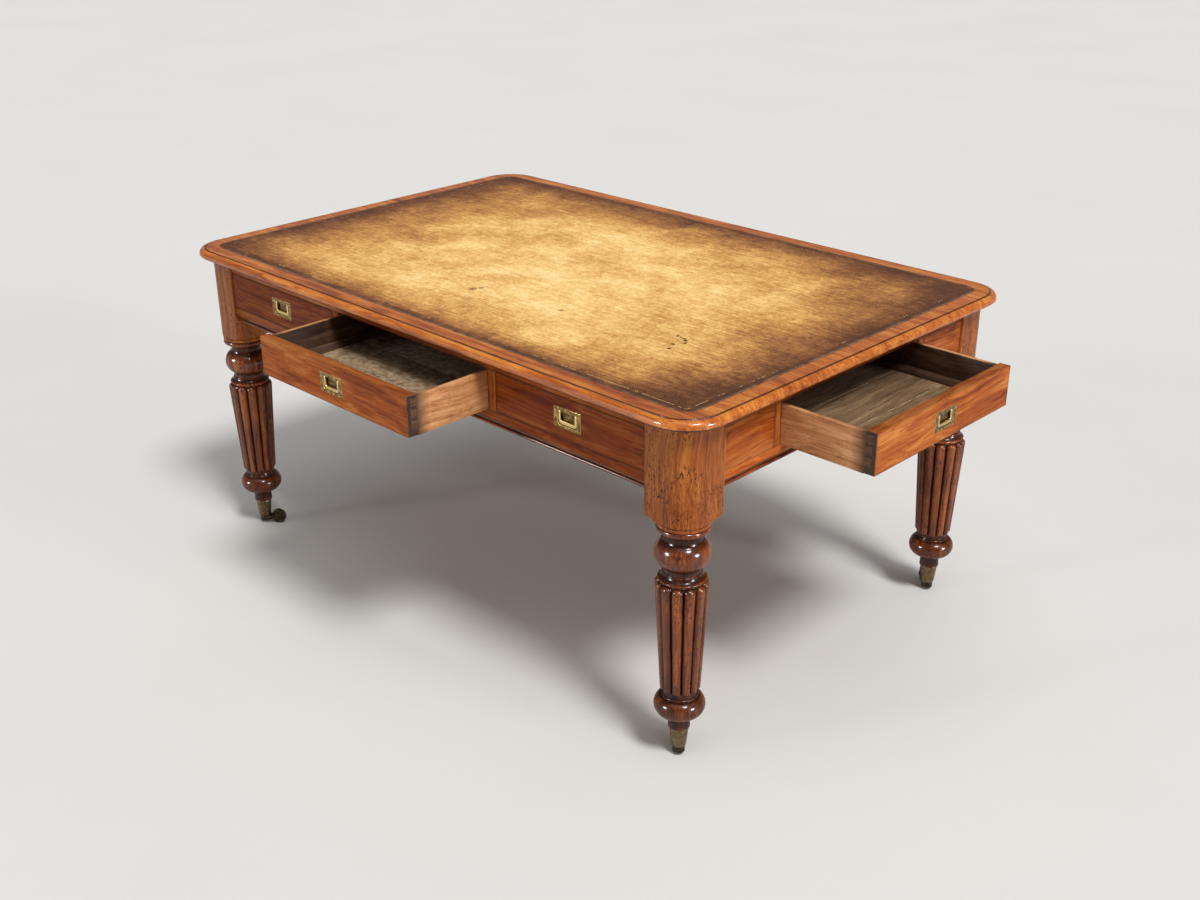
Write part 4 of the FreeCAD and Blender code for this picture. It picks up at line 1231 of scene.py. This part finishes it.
def make_plate(drawer, screws, head):
    """A plate with a dished pocket and a slotted screw at each corner."""
    node = "handle_plate_" + drawer
    across, out = drawer_frame(drawer)
    way = main_axis(across)
    bm = from_node(node)
    for verts in solids_of(bm):
        low, high = corners_of(verts)
        if high[way] - low[way] < PLATE_LEAST_WIDTH * MM:
            bmesh.ops.delete(bm, geom=verts, context="VERTS")
    soften(bm, radius=0.45)
    low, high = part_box("handle_plate_" + drawer)
    middle = (low + high) / 2
    front = max(low.dot(out), high.dot(out))
    middle += out * (front - middle.dot(out))
    shade = bm.verts.layers.float["shade"]
    for vert in bm.verts:
        if front - vert.co.dot(out) > POCKET_DEPTH * MM:
            vert[shade] = POCKET_GRIME
    low, high = corners_of(bm.verts)
    margins = PLATE_MARGIN * 2 * MM
    heads = grown(screws, head, {
        "Across": high[way] - low[way] - margins, "Upright": high.z - low.z - margins,
        "Centre": middle - out * SCREW_SINK * MM,
        "Facing": (math.pi / 2, 0, math.radians(DRAWER_TURNS[drawer])), "Seed": len(drawer)})
    bm.from_mesh(heads)
    bpy.data.meshes.remove(heads)
    piece(bm, "brass_plate_" + drawer, [handle_brass], "drawer_" + drawer, [node])


def bail_path(half_width, top, foot):
    """Centre line of the U: down one side, round the corners and up the other."""
    turn_in = BAIL_BEND * (1 - math.sqrt(0.5))
    half = outline_of(
        (-half_width, top), (-half_width, top - BAIL_END_LENGTH), (-half_width, foot + BAIL_BEND),
        (-half_width + BAIL_BEND, foot, -half_width + turn_in, foot + turn_in, 6))
    return half + [(-x, z) for x, z in reversed(half)]


def make_bail(drawer):
    """A U of rounded bar, thicker along its foot, with a pin at the top of each arm."""
    node = "handle_bail_" + drawer
    across, out = drawer_frame(drawer)
    way = main_axis(out)
    low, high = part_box("handle_plate_" + drawer)
    bail_low, bail_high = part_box(node)
    centre = (low + high) / 2
    centre[way] = (bail_low[way] + bail_high[way]) / 2
    centre.z = 0
    foot = bail_low.z / MM + BAIL_FOOT_BAR / 2
    path = bail_path(BAIL_HALF_WIDTH - BAIL_BAR / 2, bail_high.z / MM, foot)
    section = rounded_corners(BAIL_BAR / 2, BAIL_THICK / 2, BAIL_ROUND, steps=4)
    bm = new_mesh()
    rings = []
    for number, (x, z) in enumerate(path):
        before = path[max(number - 1, 0)]
        after = path[min(number + 1, len(path) - 1)]
        along = Vector((after[0] - before[0], after[1] - before[1])).normalized()
        shrink = BAIL_END_SHARE if number in (0, len(path) - 1) else 1.0
        swell = shrink * (1 + (BAIL_FOOT_BAR / BAIL_BAR - 1) * abs(along.x))
        ring = []
        for a, b in section:
            px = x + along.y * a * swell
            pz = z - along.x * a * swell
            ring.append(bm.verts.new(centre + (across * px + out * (b * shrink) + UP * pz) * MM))
        rings.append(ring)
    skin(bm, rings)
    pin = [(0.01, 2.4), (1.4, 2.4), (1.4, -1.0), (0.01, -1.0)]
    for side in (-1, 1):
        turn = UP.rotation_difference(across * side).to_matrix().to_4x4()
        spot = centre + across * (side * BAIL_HALF_WIDTH * MM) + UP * (bail_high.z - BAIL_THICK / 2 * MM)
        turned(bm, pin, PIN_SEGMENTS, Matrix.Translation(spot) @ turn)
    worn = bm.faces.layers.float["edge"]
    for face in bm.faces:
        face[worn] = BAIL_RUB
    piece(bm, "brass_bail_" + drawer, [handle_brass], "bail_" + drawer, [node], smooth_angle=40)


# Assembly

make_top()
make_hide()
make_tooling()

leg_turns, all_leg_rows = leg_rows()
for leg_name in LEG_TURNS:
    make_leg(leg_name, leg_turns, all_leg_rows)
    make_wheel(leg_name)
    make_fork(leg_name)
make_cups()

for node_name in ("top_rails", "bottom_rails", "long_stiles", "end_stiles", "end_panels"):
    make_joinery(node_name, frieze_mahogany, radius=0.6, outlined=True)
make_joinery("base_beads", turned_mahogany, radius=0.6)
for node_name in ("drawer_runners", "drawer_guides", "drawer_kickers", "drawer_stops", "top_buttons"):
    make_joinery(node_name, frame_wood, radius=0.8)
make_joinery("button_screws", screw_iron, radius=0.2)

screw_tree = plate_screws_tree()
slotted_head = screw_head()
for drawer_name in DRAWER_TURNS:
    make_drawer_front(drawer_name)
    make_drawer_box(drawer_name)
    make_plate(drawer_name, screw_tree, slotted_head)
    make_bail(drawer_name)


# Stage, light and camera

# Half the floor's side, in metres
FLOOR_HALF = 30.0
# Where each light comes from, its strength, its width in degrees, and whether polish alone shows it
LIGHTS = {
    "key_light": ((2.2, -0.5, 3.3), 2.3, 14, False),
    "ceiling_light": ((0.4, -0.4, 3.2), 0.7, 50, False),
    "left_window": ((-0.43, -0.88, 0.3), 0.25, 9, False),
    "right_window": ((0.95, 0.18, 0.3), 0.55, 10, False),
    "left_gleam": ((-0.43, -0.88, 0.3), 2.3, 14, True),
    "right_gleam": ((0.95, 0.18, 0.3), 2.3, 14, True),
}
SKY_COLOUR = "#E8EAEC"
SKY_STRENGTH = 0.25


def make_floor():
    """A wide pale floor under the casters."""
    bm = new_mesh()
    corners = [(sx * FLOOR_HALF, sy * FLOOR_HALF, 0) for sx, sy in ((-1, -1), (1, -1), (1, 1), (-1, 1))]
    bm.faces.new([bm.verts.new(corner) for corner in corners])
    mesh = to_mesh(bm, "studio_floor")
    mesh.materials.append(pale_concrete("pale_studio_floor"))
    floor = put("studio_floor", mesh)


def make_lights():
    """Even lights with soft-edged shadows, and a pale sky."""
    for name, (source, strength, width, gleam_only) in LIGHTS.items():
        lamp = bpy.data.lights.new(name, "SUN")
        lamp.energy = strength
        lamp.angle = math.radians(width)
        holder = put(name, lamp)
        holder.visible_diffuse = not gleam_only
        holder.rotation_euler = (-Vector(source)).to_track_quat("-Z", "Y").to_euler()
    SCENE.world = bpy.data.worlds.new("studio")
    SCENE.world.use_nodes = True
    sky = SCENE.world.node_tree.nodes["Background"].inputs
    sky["Color"].default_value = linear(SKY_COLOUR)
    sky["Strength"].default_value = SKY_STRENGTH


def make_camera():
    """The photograph's viewpoint, worked out from the desk's corners in it."""
    focal_pixels, image_width = 1413.1, 1200
    place = Vector((2.2581, -2.2351, 1.7366))
    azimuth, pitch, roll = math.radians(44.381), math.radians(24.516), -0.0051
    away = math.cos(pitch)
    back = Vector((math.sin(azimuth) * away, -math.cos(azimuth) * away, math.sin(pitch)))
    level = UP.cross(back).normalized()
    upright = back.cross(level)
    right = math.cos(roll) * level + math.sin(roll) * upright
    top = math.cos(roll) * upright - math.sin(roll) * level
    lens = bpy.data.cameras.new("photo_camera")
    lens.sensor_width = 36
    lens.lens = lens.sensor_width * focal_pixels / image_width
    camera = put("photo_camera", lens)
    camera.matrix_world = Matrix.Translation(place) @ Matrix((right, top, back)).transposed().to_4x4()
    bpy.context.scene.camera = camera


make_floor()
make_lights()
make_camera()
bpy.context.scene.view_settings.view_transform = "Standard"
